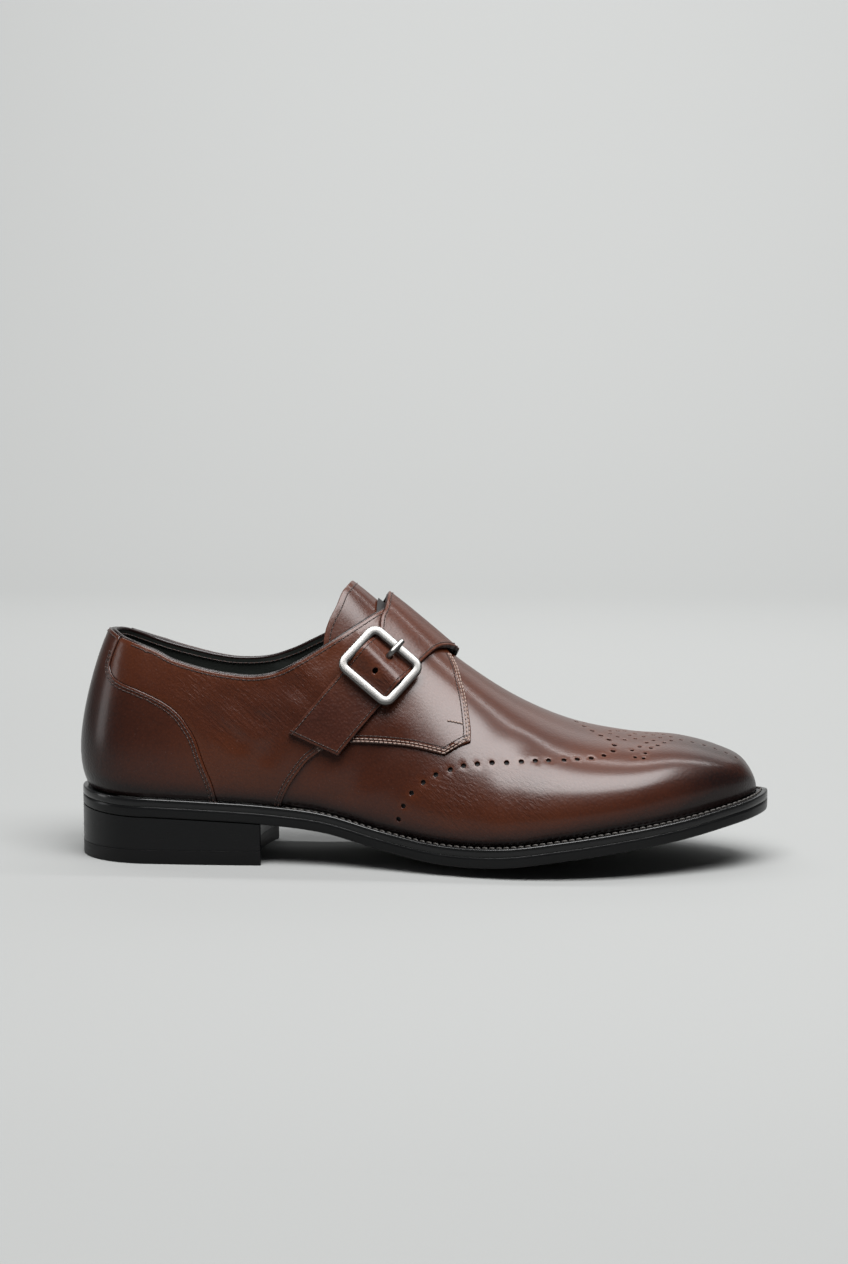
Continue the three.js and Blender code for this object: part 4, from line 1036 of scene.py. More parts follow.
def hole_loop(chart, uv, radius, count=12):
    """A round hole on the last, as a loop of flat places."""
    a = np.arange(count) * 2 * math.pi / count
    uv = np.broadcast_to(uv, (count, 2))
    du = chart.slopes(uv)[0]
    x = du / np.linalg.norm(du, axis=-1, keepdims=True)
    y = np.cross(chart.normal(uv), x)
    return chart.move(uv, (x * np.cos(a)[:, None] + y * np.sin(a)[:, None]) * radius)


print("collar at the heel, share", collar_share(np.zeros(1), LATERAL).round(2))

# %% [markdown]
# ## The vamp's punching
#
# Broguing began as holes that let water out and stayed as ornament. A row of larger holes runs
# over each side as a wing and rises to the ridge; on the toe a small medallion and a row of single
# holes follow. A pattern texture would do from afar. Real holes catch light on their rims, so
# each is a hole in the panel, placed one by one: the wing by shares in side view, the medallion by
# its distance from the back, and from the centre line, in millimetres.

# %% The vamp's punching
WING_HOLE, TOE_HOLE = 1.05, 0.8
WING_PEAK = 0.733
WING = [(0.480, 0.098), (0.487, 0.170), (0.499, 0.238), (0.516, 0.298), (0.534, 0.346), (0.555, 0.386),
        (0.574, 0.419), (0.594, 0.445), (0.615, 0.471), (0.636, 0.491), (0.657, 0.515), (0.677, 0.535),
        (0.696, 0.551), (0.718, 0.571), (0.737, 0.591), (0.757, 0.611), (0.775, 0.643), (0.788, 0.691),
        (0.790, 0.755), (0.782, 0.815), (0.770, 0.855), (0.757, 0.900), (0.745, 0.945)]
MEDALLION = [(84.1, 2.8), (87.4, 5.9), (90.4, 8.9), (96.9, 15.4), (93.6, 20.0), (94.9, 25.3), (98.5, 25.2),
             (99.3, 21.1), (101.7, 15.8), (104.7, 12.1), (107.6, 7.9), (110.7, 3.8), (100.0, 9.6),
             (103.0, 5.4), (95.0, 5.0)]
TOE_ROW = [92.6, 98.7, 105.9, 115.0, 120.0, 125.1, 130.0, 134.7, 139.1]
CENTRE_LINE = ([80, 140], [-1.2, -4.4])


def toe_place(x, across):
    """Flat place of a toe hole, from the middle of the length and across from the centre line."""
    y = np.interp(x, *CENTRE_LINE) - across
    s = station_at((x - REAR) / LAST_LENGTH)
    side = LATERAL if y < section(s)[COL["ridge"]] * BALL_WIDTH else MEDIAL
    w = by_halves(0.0, 1.0, lambda w: (last(s, side, w)[1] - y) * side > 0)
    return OVER.from_share(s, w, side)


def punching():
    holes = [(np.array([float(station_at(WING_PEAK)), 0.0]), WING_HOLE)]
    holes += [(np.array([float(station_at(at)), side * (1 - share)]), WING_HOLE)
              for at, share in WING for side in (LATERAL, MEDIAL)]
    medallion = MEDALLION + [(x, -across) for x, across in MEDALLION] + [(x, 0.0) for x in TOE_ROW]
    return holes + [(toe_place(x, across), TOE_HOLE) for x, across in medallion]


punched = punching()
print("punched holes", len(punched))

# %% [markdown]
# ## Vamp
#
# The vamp is the large front panel, pulled over the toe and closed under the strap. On the real
# shoe it is the first piece to be lasted, and it shows how well the maker worked. One mesh with
# the punched holes in its outline is used, and its rear edge hides under the quarters, so that the
# seam is a real overlap.

# %% Vamp
VAMP_BEHIND = 0.35


def vamp():
    seam = float(OVER.from_side(VAMP_SEAM, LATERAL)[0, 0])
    rear, front = seam - VAMP_BEHIND, TIP - 0.02
    lateral = np.array([[rear, -NEAR_FEATHER], [seam - 0.2, -0.8], [3.3, -0.62], [3.9, -0.45], [4.3, -0.3]])
    medial = lateral[::-1] * [1, -1]
    outline = join(OVER, along_feather(rear, front, 160, -NEAR_FEATHER),
                   along_feather(front, rear, 160, NEAR_FEATHER), medial[::-1], lateral[::-1], pitch=1.8)
    panel("vamp", OVER, [outline, *(hole_loop(OVER, uv, radius) for uv, radius in punched)],
          lambda s, side, w, p: upper_face(s), lambda s, side, w, p: upper_face(s) - 1.5,
          vamp_leather, "leather_brown", ("upper",), step=2.3, fillet=0.28)


vamp()

# %% [markdown]
# ## Lining
#
# Inside, a thin black leather lining goes from the collar to the toe. It could be the vamp's mesh turned inside
# out. It is a skin of its own, because the lining also runs behind the quarters and the counter. A second, black
# skin lies close under the vamp as painted shade inside the punched holes.

# %% Lining
def skin(name, offset, material, s_from, s_to, top_share, count, flip):
    s = np.linspace(s_from, s_to, count[0])
    parts = []
    for side in (LATERAL, MEDIAL):
        share = np.linspace(0, 1, count[1]) * top_share(s, side)[:, None]
        uv = OVER.from_share(np.repeat(s[:, None], count[1], 1), share, side)
        parts.append((OVER.point(uv, offset).reshape(-1, 3), grid_faces(*count, flip=(side < 0) != flip)))
    mesh_object(name, *merge(parts), material, "lining_black")


skin("lining", lambda s, side, w, p: upper_face(s) - UPPER_WALL, lining_leather, -1, TIP - 0.05,
     lambda s, side: np.where(s < collar_end, collar_share(s, side), 1.0), (120, 40), flip=True)
# Painted shade: a black sheet 1.25 mm under the vamp's face fills the punched holes with dark.
skin("punch_hole_shade", lambda s, side, w, p: upper_face(s) - 1.25, hole_shade_black, 3.8, TIP - 0.1,
     lambda s, side: np.ones_like(s), (150, 50), flip=False)

# %% [markdown]
# ## Topline
#
# Round the opening the lining is turned over a tape and stitched, which leaves a soft roll just
# inside the leather. A bevel on the panel's edge would be too small to read as a roll. A thin tube
# along the collar line gives it at little cost.

# %% Topline
def topline():
    parts = []
    for side in (LATERAL, MEDIAL):
        s = np.concatenate([np.linspace(-1, 0, 24)[:-1], np.linspace(0, collar_end - 0.02, 90)])
        uv = OVER.from_share(s, collar_share(s, side), side)
        path = OVER.point(uv, lambda s, side, w, p: upper_face(s) - 0.6)
        points, faces = tube(path, 1.0, sides=10, up=OVER.normal(uv))
        parts.append((points, [f[::-1] for f in faces] if side > 0 else faces))
    mesh_object("topline", *merge(parts), tongue_leather, "leather_brown")


topline()

# %% [markdown]
# ## Heel counter
#
# The counter is the outside piece round the heel that takes the wear of putting the shoe on. It
# lies on the quarters with two rows of stitches and reaches up to the collar. It crosses the very
# back, where the long chart folds over, so it is cut on the round one.

# %% Heel counter
def counter():
    face = lambda s, side, w, p: upper_face(s) + COUNTER
    left, right = ROUND.from_side(COUNTER_EDGE, LATERAL), ROUND.from_side(COUNTER_EDGE, MEDIAL)
    u = np.linspace(left[-1, 0], right[-1, 0], 60)
    s = np.abs(u) - 1
    collar = np.stack([u, np.where(u < 0, collar_share(s, LATERAL), collar_share(s, MEDIAL))], -1)
    feather = along_feather(right[0, 0], left[0, 0], 90, 1 - NEAR_FEATHER)
    panel("heel_counter_leather", ROUND, [join(ROUND, left, collar, right[::-1], feather)], face,
          lambda s, side, w, p: upper_face(s) - 0.2, counter_leather, "leather_dark_brown", ("heel_counter",),
          tone_and_shade=-0.05)
    for line, way in ((left, -1), (right, 1)):
        stitches(ROUND, line[:-6], face, shift=1.3 * way)
        stitches(ROUND, line[:-6], face, shift=2.6 * way)
    stitches(ROUND, collar[2:-2], face, shift=-1.5)


counter()

# %% [markdown]
# ## Outer quarter
#
# The outer quarter closes the side and ends in the pointed facing that the strap is buckled over.
# Its front edge carries the most visible sewing: two light rows on the edge, a dark one behind,
# and a short bar tack that stops the facing from tearing out. The seam to the vamp is a real
# overlap with two dark rows.

# %% Outer quarter
def outer_quarter():
    face = lambda s, side, w, p: upper_face(s) + QUARTER
    rear, seam, foot, front = (OVER.from_side(rows, LATERAL)
                               for rows in (COUNTER_EDGE, VAMP_SEAM, FACING_FOOT, FACING_FRONT))
    top = collar_line(OVER, rear[-1, 0], collar_end - 0.02, LATERAL)
    ridge = along_feather(collar_end - 0.02, front[-1, 0], 20, -0.004)
    feather = along_feather(rear[0, 0], seam[0, 0], 40, -NEAR_FEATHER)
    outline = join(OVER, feather, seam, foot, front, ridge[::-1], top[::-1], rear[::-1])
    panel("lateral_quarter_leather", OVER, [outline], face, lambda s, side, w, p: upper_face(s) - 0.1,
          vamp_leather, "leather_brown", ("lateral_quarter",), tone_and_shade=0.04)
    stitches(OVER, top[4:], face, shift=1.5)
    stitches(OVER, seam, face, shift=-1.4)
    stitches(OVER, seam, face, shift=-2.8)
    border = np.concatenate([foot, front[1:-4]])
    stitches(OVER, border, face, shift=-0.7, pitch=2.0, bank="light", length=1.95, radius=0.33)
    stitches(OVER, border, face, shift=-1.8, pitch=2.0, bank="light", length=1.85, radius=0.28)
    stitches(OVER, border, face, shift=-3.1, pitch=2.2)
    stitches(OVER, OVER.from_side(BAR_TACK, LATERAL), lambda *place: face(*place) + 0.15, pitch=1.4, bank="light",
             length=1.5, radius=0.36)


outer_quarter()

# %% [markdown]
# ## Where the buckle sits
#
# The buckle lies on the outer quarter, square to the leather there and turned with the strap. Its
# own small frame is worked out first: X along the strap towards the instep, Y across it, Z out of
# the leather. An empty as a parent would do the same, but the strap has to follow that frame as
# well, so it is kept as numbers.

# %% Where the buckle sits
BAR_WIDTH, BUCKLE_THICKNESS, WINDOW_LENGTH, FLAT_BAR = 3.2, 2.6, 20.2, 3.9
CENTRE_BAR_RADIUS, LOOP_LEATHER, LOOP_WIDTH, LOOP_FOOT = 0.8, 0.6, 15.0, 4.6
window_x, window_y = WINDOW_LENGTH / 2, STRAP_WIDTH / 2 + 0.5
buckle_half = window_x + BAR_WIDTH / 2
loop_radius = CENTRE_BAR_RADIUS + CLEARANCE + LOOP_LEATHER
strap_seat = QUARTER + CLEARANCE
bar_height = strap_seat + loop_radius
tail_xz, middle_xz = side_view([TAIL_MIDDLE, BUCKLE_MIDDLE])
strap_along = (middle_xz - tail_xz) / np.linalg.norm(middle_xz - tail_xz)


print("centre bar above the last", round(bar_height, 2))

# %% The buckle's own frame
def surface_at(xz, offset):
    """A point above the last under a place in side view, and the way out there."""
    s = np.array([station_at((xz[0] - REAR) / LAST_LENGTH)])
    uv = OVER.from_share(s, share_at(s, LATERAL, np.array([xz[1]])), LATERAL)
    normal = OVER.normal(uv)
    return (OVER.base(uv) + normal * offset)[0], normal[0]


def unit(vector):
    return vector / np.linalg.norm(vector)


buckle_station = float(station_at(BUCKLE_MIDDLE[0]))
seat, seat_normal = surface_at(middle_xz, float(upper_face(buckle_station)))
reach = strap_along * buckle_half
buckle_x = unit(surface_at(middle_xz + reach, 0)[0] - surface_at(middle_xz - reach, 0)[0])
buckle_y = unit(np.cross(seat_normal, buckle_x))
buckle_z = np.cross(buckle_x, buckle_y)
BUCKLE = np.stack([buckle_x, buckle_y, buckle_z])


def from_buckle(points):
    return np.asarray(points, float) @ BUCKLE + seat


print("buckle seat", seat.round(1), "strap direction", buckle_x.round(2))

# %% From the buckle's frame to the chart
def project(points, lift=3.0):
    """Flat places under points given in the buckle's frame."""
    target = np.asarray(points, float)
    uv = OVER.from_share(np.full(len(target), buckle_station), np.full(len(target), 0.6), LATERAL)
    for _ in range(30):
        n = OVER.normal(uv)
        gap = (target - (OVER.base(uv) + n * lift - seat) @ BUCKLE.T)[:, :2] @ BUCKLE[:2]
        uv = OVER.move(uv, (gap - n * (gap * n).sum(-1, keepdims=True)) * 0.9)
        uv[:, 1] = np.clip(uv[:, 1], -0.999, -0.02)
    return uv


def strip(x0, x1, y0, y1, count):
    """A straight line in the buckle's frame, as flat places."""
    t = np.linspace(0, 1, count)[:, None]
    return project(np.concatenate([mix(x0, x1, t), mix(y0, y1, t), 0 * t], axis=1))


print("under the buckle's middle", project([[0, 0, 0]]).round(2))

# %% [markdown]
# ## Inner quarter and strap
#
# On a monk shoe the inner quarter and the strap are one piece of leather. It closes the inner side,
# crosses the instep, goes over the buckle's centre bar and ends in a slanted tail. It could be
# modelled as a band and a panel joined at the instep, but the join would show. One outline is cut
# instead, and its height above the last changes along the way: low on the inner side, clear of the
# tongue over the instep, with a hump over the centre bar.

# %% Inner quarter and strap
HUMP_SPREAD, TAIL_SLANT, INNER_THICKNESS = 5.4, 3.1, 1.0
HALF_STRAP = STRAP_WIDTH / 2
INSTEP_STATION = 4.0
SPARE_HOLE, PRONG_HOLE = (-3.2, 1.15), (5.9, 1.5)
strap_hump = bar_height + loop_radius + 3 * CLEARANCE - strap_seat
instep_rise = float(section(INSTEP_STATION)[COL["rise"]]) * INSTEP_RISE
strap_root, strap_crest = (float(feather_height(INSTEP_STATION)) + instep_rise * share for share in (0.5, 0.86))
tail_x = float(((surface_at(tail_xz, strap_seat)[0] - seat) @ BUCKLE.T)[0])


def strap_lift(p):
    """Height of the strap's underside on the outer side."""
    place = (np.stack([p[..., 0], p[..., 2]], -1) - middle_xz) @ strap_along
    climb = smoothstep(place, buckle_half, 2 * buckle_half)
    return mix(strap_seat, STRAP_STAND_OFF, climb) + strap_hump * bell(place / HUMP_SPREAD)


def strap_side(s, side, p, outer, low, high):
    """Outer height on the outer side; on the inner side from low, as a quarter, to high, as a strap."""
    inner = mix(low, high, smoothstep(p[..., 2], strap_root, strap_crest))
    return upper_face(s) + np.where(side < 0, outer, inner)


def strap_face(s, side, w, p):
    return strap_side(s, side, p, strap_lift(p) + STRAP_THICKNESS, CLEARANCE + INNER_THICKNESS,
                      STRAP_STAND_OFF + STRAP_THICKNESS)


def strap_base(s, side, w, p):
    return strap_side(s, side, p, strap_lift(p), 0.0, STRAP_STAND_OFF)


print("strap tail at", round(tail_x, 1))

# %% Cutting the strap
def strap():
    rear_in, seam_in, front_in, strap_rear_in = (
        OVER.from_side(rows, MEDIAL) for rows in (COUNTER_EDGE, VAMP_SEAM, INNER_QUARTER_FRONT, STRAP_REAR_INNER))
    top = collar_line(OVER, rear_in[-1, 0], strap_rear_in[0, 0], MEDIAL)
    feather = along_feather(rear_in[0, 0], seam_in[0, 0], 40, NEAR_FEATHER)
    past = buckle_half + BAR_WIDTH / 2
    rear_whole = np.concatenate([strip(tail_x - TAIL_SLANT, past, HALF_STRAP, HALF_STRAP, 50),
                                 OVER.from_side(STRAP_REAR_ABOVE, LATERAL)[4:]])
    front_whole = np.concatenate([strip(tail_x + TAIL_SLANT, past, -HALF_STRAP, -HALF_STRAP, 50),
                                  OVER.from_side(STRAP_FRONT_ABOVE, LATERAL)[2:]])
    tail = strip(tail_x - TAIL_SLANT, tail_x + TAIL_SLANT, HALF_STRAP, -HALF_STRAP, 16)
    outline = join(OVER, tail, front_whole, front_in[::-1], seam_in[::-1], feather[::-1], rear_in, top,
                   strap_rear_in, rear_whole[::-1])
    holes = [hole_loop(OVER, project([[x, 0, 0]])[0], radius, 14) for x, radius in (SPARE_HOLE, PRONG_HOLE)]
    panel("medial_quarter_strap_leather", OVER, [outline, *holes], strap_face, strap_base, strap_leather,
          "leather_brown", ("medial_quarter_strap",), step=1.7, fillet=0.55)
    for line, shift, pitch in ((front_whole, -1.5, 2.2), (rear_whole, 1.5, 2.2), (tail, -1.5, 2.2),
                               (top[4:], -1.5, 2.5), (strap_rear_in, -1.8, 2.5), (front_in, 1.5, 2.5),
                               (seam_in, 1.5, 2.5), (seam_in, 3.0, 2.5)):
        stitches(OVER, line, strap_face, shift=shift, pitch=pitch)


strap()

# %% [markdown]
# ## Tongue
#
# The tongue keeps the strap off the instep and stands up behind it. It could be a flat leaf bent by
# a modifier. It is cut on the last like the rest, a little lower than the vamp, so that it really
# passes under the strap. A row of stitches in the collar's lining goes with it.

# %% Tongue
TONGUE_DEPTH, TONGUE_THICKNESS = 2.3, 1.6


def tongue():
    face = lambda s, side, w, p: upper_face(s) - TONGUE_DEPTH
    left, right = OVER.from_side(TONGUE_REAR, LATERAL), OVER.from_side(TONGUE_REAR, MEDIAL)
    front = np.array([[4.6, -0.3], [4.6, 0.0], [4.6, 0.3]])
    panel("tongue_leather", OVER, [join(OVER, left[::-1], front, right)], face,
          lambda s, side, w, p: upper_face(s) - TONGUE_DEPTH - TONGUE_THICKNESS, tongue_leather, "leather_brown",
          ("tongue",), step=1.8)
    stitches(OVER, left, face, shift=2.6, pitch=2.4)
    stitches(OVER, right, face, shift=-2.6, pitch=2.4)


tongue()
stitches(OVER, collar_line(OVER, -0.8, collar_end - 0.1, MEDIAL), lambda s, side, w, p: upper_face(s) - 2.35,
         shift=-1.7, pitch=2.4, radius=0.22)

# %% [markdown]
# ## Welt and outsole
#
# The welt is a strip of leather sewn to the upper all round, and the outsole is sewn to the welt.
# What shows is their edge: two layers with a fine groove between them and a rounded lip. A swept
# curve with a profile would do. The profile is worked out per station, because the lip follows
# the changing projection and the underside rises at the toe. The outsole's underside bulges at
# the ball and is flat where it stands on the floor.

# %% Welt and outsole
FLAT_HALF = 0.8
INNER_EDGE = -3
GROOVE = 0.15


def camber(s, across):
    return section(s)[..., COL["camber"]] * BALL_CAMBER * np.maximum(0, 1 - (across / FLAT_HALF) ** 2)


def swept(profile, closed):
    """A profile of (distance, height) pairs taken once round the outline."""
    half = spread_stations()
    s = np.concatenate([half, half[-2:0:-1]])
    side = np.repeat([-1.0, 1.0], [len(half), len(half) - 2])
    rings = [np.column_stack([edge_point(s, side, distance), height]) for distance, height in profile(s)]
    return np.concatenate(rings), grid_faces(len(rings), len(s), closed, True)


def across_sheet(s, inset, count, height):
    """A sheet from edge to edge, its height given by station and place across."""
    left, right = both_edges(s, inset)
    rows = [np.column_stack([mix(left, right, (a + 1) / 2), height(s, a)]) for a in np.linspace(-1, 1, count)]
    return np.concatenate(rows)


print("camber at the ball", round(float(camber(5.5, 0.0)), 1))

# %% Profiles of welt and outsole
def welt_profile(s):
    top, out = underside(s) + STACK, welt_projection(s)
    low = underside(s) + OUTSOLE_THICKNESS + GROOVE
    return [(0 * s + INNER_EDGE, low), (out - 0.15, low), (out, low + 0.08), (out + 0.03, low + 1.3),
            (out, top - 0.6), (out - 0.12, top - 0.25), (out - 0.38, top - 0.05), (out - 0.75, top),
            (out - 1.3, top - 0.1), (0 * s + 0.6, top - 0.35), (0 * s + INNER_EDGE, top - 0.4)]


def outsole_profile(s):
    low, out = underside(s), welt_projection(s)
    top = low + OUTSOLE_THICKNESS
    return [(0 * s + INNER_EDGE, top), (out - 0.12, top), (out, top - 0.08), (out + 0.03, top - 1.2),
            (out, low + 1.0), (out - 0.2, low + 0.3), (out - 0.9, low)]


def outsole():
    s = spread_stations()
    bottom = across_sheet(s, welt_projection(s) - 0.9, 25,
                          lambda s, a: np.maximum(0.0, underside(s) - camber(s, a)))
    parts = [swept(outsole_profile, False), (bottom, grid_faces(25, len(s), flip=True))]
    mesh_object("outsole_leather", *merge(parts), sole_black, "sole_black", ("outsole",))


mesh_object("welt_leather", *swept(welt_profile, True), welt_black, "sole_black", ("welt",))
outsole()

# %% [markdown]
# ## Heel
#
# A heel is built from leather lifts, trimmed in one go and closed with a rubber top lift. Its front
# face, the breast, is hollowed. A block cut by a cylinder would be quick; here the outline is the
# sole's own, cut off by the breast's arc, and is stacked up with a fine bevel at each joint, so
# that heel and sole run into each other without a step.

# %% Heel
HEEL_POINTS = 200
SHARP_ANGLE = math.radians(35)


def heel_outline(distance):
    """The heel's outline: round the back, then the hollow front face."""
    corner = REAR + BREAST_CORNER
    middle = section(0.0)[COL["ridge"]] * BALL_WIDTH
    radius = (BREAST_SPAN**2 / 4 + BREAST_HOLLOW**2) / (2 * BREAST_HOLLOW)
    centre = corner + radius - BREAST_HOLLOW

    def breast(y):
        return np.minimum(centre - np.sqrt(np.maximum(radius**2 - (y - middle) ** 2, 1)), corner)
    s = np.concatenate([np.linspace(-1, 0, 26)[:-1], station_at(np.linspace(FIRST, 0.31, 60))])
    lateral, medial = (xy[xy[:, 0] < breast(xy[:, 1])] for xy in both_edges(s, welt_projection(s) + distance))
    y = np.linspace(lateral[-1, 1], medial[-1, 1], 30)
    return np.concatenate([lateral, np.column_stack([breast(y), y]), medial[::-1][:-1]])


def sole_above(loop):
    """Height of the outsole's underside over the heel's outline."""
    first = REAR + FIRST * LAST_LENGTH
    behind = -np.arcsin(np.clip((first - loop[:, 0]) / (first - REAR), 0, 1)) * 2 / math.pi
    forward = station_at(np.maximum((loop[:, 0] - REAR) / LAST_LENGTH, FIRST))
    return underside(np.where(behind < 0, behind, forward)) - 0.1


print("points round the heel", len(heel_outline(0.0)))

# %% Stacking the heel
def heel_block(name, levels, material, slot_name, node_name):
    """A stack of outlines: (distance, height) from the bottom up."""
    rings = []
    for distance, height in levels:
        loop = heel_outline(distance)
        z = height(loop) if callable(height) else np.full(len(loop), height)
        closed = np.column_stack([loop, z])
        closed = np.vstack([closed, closed[:1]])
        length = run_length(closed[:, :2])
        rings.append(at_length(closed, length, np.linspace(0, length[-1], HEEL_POINTS, endpoint=False)))
    faces = grid_faces(len(rings), HEEL_POINTS, closed_columns=True)
    faces.append(list(range(HEEL_POINTS))[::-1])
    faces.append([(len(rings) - 1) * HEEL_POINTS + i for i in range(HEEL_POINTS)])
    obj = mesh_object(name, np.concatenate(rings), faces, material, slot_name, (node_name,))
    obj.data.set_sharp_from_angle(angle=SHARP_ANGLE)


lift, stack_low = TOP_LIFT_THICKNESS, TOP_LIFT_THICKNESS + 0.12
heel_block("heel_top_lift_rubber", [(-0.5, 0.0), (-0.12, 0.15), (0.0, 0.6), (0.0, lift - 0.06), (-0.08, lift)],
           heel_rubber, "heel_rubber", "heel_top_lift")
heel_block("heel_stack_leather", [(-0.08, stack_low), (0.0, stack_low + 0.08),
                                  (0.0, mix(stack_low, float(underside(0.0)), 0.5)), (0.0, sole_above)],
           sole_black, "sole_black", "heel_stack")

# %% [markdown]
# ## Footbed
#
# Inside lies the insole, covered with the same black leather as the lining. Only its heel can be
# seen through the opening. A flat plate would show a gap at the wall, so the sheet follows the
# sole's curve and turns up a little at its edge.

# %% Footbed
TURN_UP = 1.6


def footbed():
    s = np.concatenate([np.linspace(-1, 0, 12)[:-1], np.linspace(0, TIP, 90)])

    def height(s, a):
        top = underside(s) + OUTSOLE_THICKNESS + CLEARANCE + INSOLE_THICKNESS - camber(s, a)
        return top + TURN_UP * np.abs(a) ** 4 * smoothstep(s, 6, 2)
    points = across_sheet(s, upper_face(s) - UPPER_WALL - 0.15, 21, height)
    mesh_object("footbed", points, grid_faces(21, len(s)), lining_leather, "lining_black", ("insole",))


footbed()

# %% [markdown]
# ## Buckle frame and prong
#
# The buckle is cast steel, brushed to a satin: a square frame with soft corners, a centre bar
# under the strap, and a prong that turns on the bar and lies across the frame's front edge. A
# bevelled cube would do for the frame, but cast frames have a broad flat face with rolled edges,
# so a flattened round is swept along a rounded square. The prong is a tube along a drawn line,
# up through the strap's hole and down on to the frame.

# %% Buckle frame and prong
CORNER, POST_RADIUS = 3.4, 1.25
RING_SIDES = 20
FLATTEN_ACROSS, FLATTEN_UP = 0.55, 0.5
frame_low = strap_seat + STRAP_THICKNESS + 2 * CLEARANCE
frame_middle, frame_top = frame_low + BUCKLE_THICKNESS / 2, frame_low + BUCKLE_THICKNESS


def rounded_square(half_x, half_y, count=8):
    """Points and outward angles round a square with round corners."""
    rows = []
    for i, (sign_x, sign_y) in enumerate(((1, 1), (-1, 1), (-1, -1), (1, -1))):
        a = np.radians(90 * i + 90 * np.arange(count + 1) / count)
        rows.append(np.column_stack([sign_x * (half_x - CORNER) + CORNER * np.cos(a),
                                     sign_y * (half_y - CORNER) + CORNER * np.sin(a), a]))
    return np.concatenate(rows)


def buckle_frame():
    inset = BAR_WIDTH - FLAT_BAR / 2
    x, y, a = rounded_square(window_x + inset, window_y + inset).T[:, :, None]
    t = np.arange(RING_SIDES) * 2 * math.pi / RING_SIDES
    radial = np.abs(np.cos(t)) ** FLATTEN_ACROSS * np.sign(np.cos(t)) * FLAT_BAR / 2
    rise = np.abs(np.sin(t)) ** FLATTEN_UP * np.sign(np.sin(t)) * BUCKLE_THICKNESS / 2
    points = np.stack([x + radial * np.cos(a), y + radial * np.sin(a), frame_middle + rise + 0 * x], -1)
    parts = [(from_buckle(points.reshape(-1, 3)), grid_faces(len(x), RING_SIDES, True, True, flip=True))]
    bar = np.array([[0, at, bar_height] for at in np.linspace(-window_y - 1.6, window_y + 1.6, 12)])
    parts.append(tube(from_buckle(bar), CENTRE_BAR_RADIUS, 12, up=buckle_z))
    for y in (-window_y - BAR_WIDTH / 2, window_y + BAR_WIDTH / 2):
        post = np.array([[0, y, z] for z in np.linspace(bar_height - 0.7, frame_middle, 6)])
        parts.append(tube(from_buckle(post), POST_RADIUS, 12, up=buckle_x))
    mesh_object("buckle_frame_metal", *merge(parts), buckle_steel, "buckle_steel", ("buckle_frame",))


buckle_frame()

# %% Prong
def prong():
    rest = frame_top + 0.75
    line = spline([[-0.2, 0, bar_height + 1.3], [2.5, 0, bar_height + 1.3], [4.6, 0, bar_height + 1.7],
                   [5.9, 0, rest - 1.1], [7.3, 0, rest + 0.1], [9.5, 0, rest + 0.25], [11.5, 0, rest + 0.15],
                   [13.0, 0, rest], [14.3, 0, rest - 0.15], [14.8, 0, rest - 0.25]], 4)
    radius = np.interp(np.linspace(0, 1, len(line)), [0, 0.9, 0.97, 1], [0.75, 0.75, 0.62, 0.3])
    a = np.linspace(0, 2 * math.pi, 20, endpoint=False)
    ring = np.column_stack([np.cos(a) * 1.35, 0 * a, bar_height + np.sin(a) * 1.35])
    parts = [tube(from_buckle(line), radius, 14, up=buckle_z, flat=1.6),
             tube(from_buckle(ring), 0.5, 8, closed=True, up=buckle_y)]
    mesh_object("buckle_prong_metal", *merge(parts), buckle_steel, "buckle_steel", ("buckle_prong",))


prong()

# %% [markdown]
# ## Chape
#
# A small leather loop, the chape, is sewn to the quarter, goes once round the centre bar and holds
# the buckle on. It is slit in the middle so that the prong can turn. It could be one sheet with a
# slot cut out; two halves with soft edges are the same thing, since its foot is hidden by the
# strap.

# %% Chape
SLIT_HALF, LOOP_BEVEL = 1.9, 0.15


def chape():
    radius = CENTRE_BAR_RADIUS + CLEARANCE + LOOP_LEATHER / 2
    around = np.radians(np.linspace(-90, 180, 28))
    line = np.array([[x, bar_height - radius] for x in np.linspace(-LOOP_FOOT, -0.4, 9)]
                    + [[radius * math.cos(a), bar_height + radius * math.sin(a)] for a in around])
    way = np.gradient(line, axis=0)
    way /= np.linalg.norm(way, axis=1, keepdims=True)
    out = np.stack([way[:, 1], -way[:, 0]], -1)
    half, soft = LOOP_LEATHER / 2, LOOP_BEVEL
    halves = []
    for inner, outer in ((SLIT_HALF, LOOP_WIDTH / 2), (-LOOP_WIDTH / 2, -SLIT_HALF)):
        ring = [(inner + soft, -half), (outer - soft, -half), (outer, soft - half), (outer, half - soft),
                (outer - soft, half), (inner + soft, half), (inner, half - soft), (inner, soft - half)]
        points = [[x + o[0] * d, y, z + o[1] * d] for (x, z), o in zip(line, out) for y, d in ring]
        faces = grid_faces(len(line), len(ring), closed_columns=True)
        faces += [list(range(len(ring)))[::-1], [(len(line) - 1) * len(ring) + k for k in range(len(ring))]]
        halves.append((from_buckle(points), faces))
    points, faces = merge(halves)
    mesh_object("buckle_chape_leather", points, faces, tongue_leather, "leather_dark_brown", ("buckle_loop",),
                {"tone_and_shade": np.full(len(points), 0.25)})


chape()

# %% [markdown]
# ## Threads and needle holes
#
# The welt's sewing is coarser than the upper's and lies in a channel on top of the welt, each stitch a little
# slanted. All the threads gathered so far then become one mesh per colour, with black bodies in the needle holes
# between them as painted shade.

# %% Threads and needle holes
WELT_PITCH, WELT_STITCH, WELT_ROW = 3.1, 2.7, 1.9


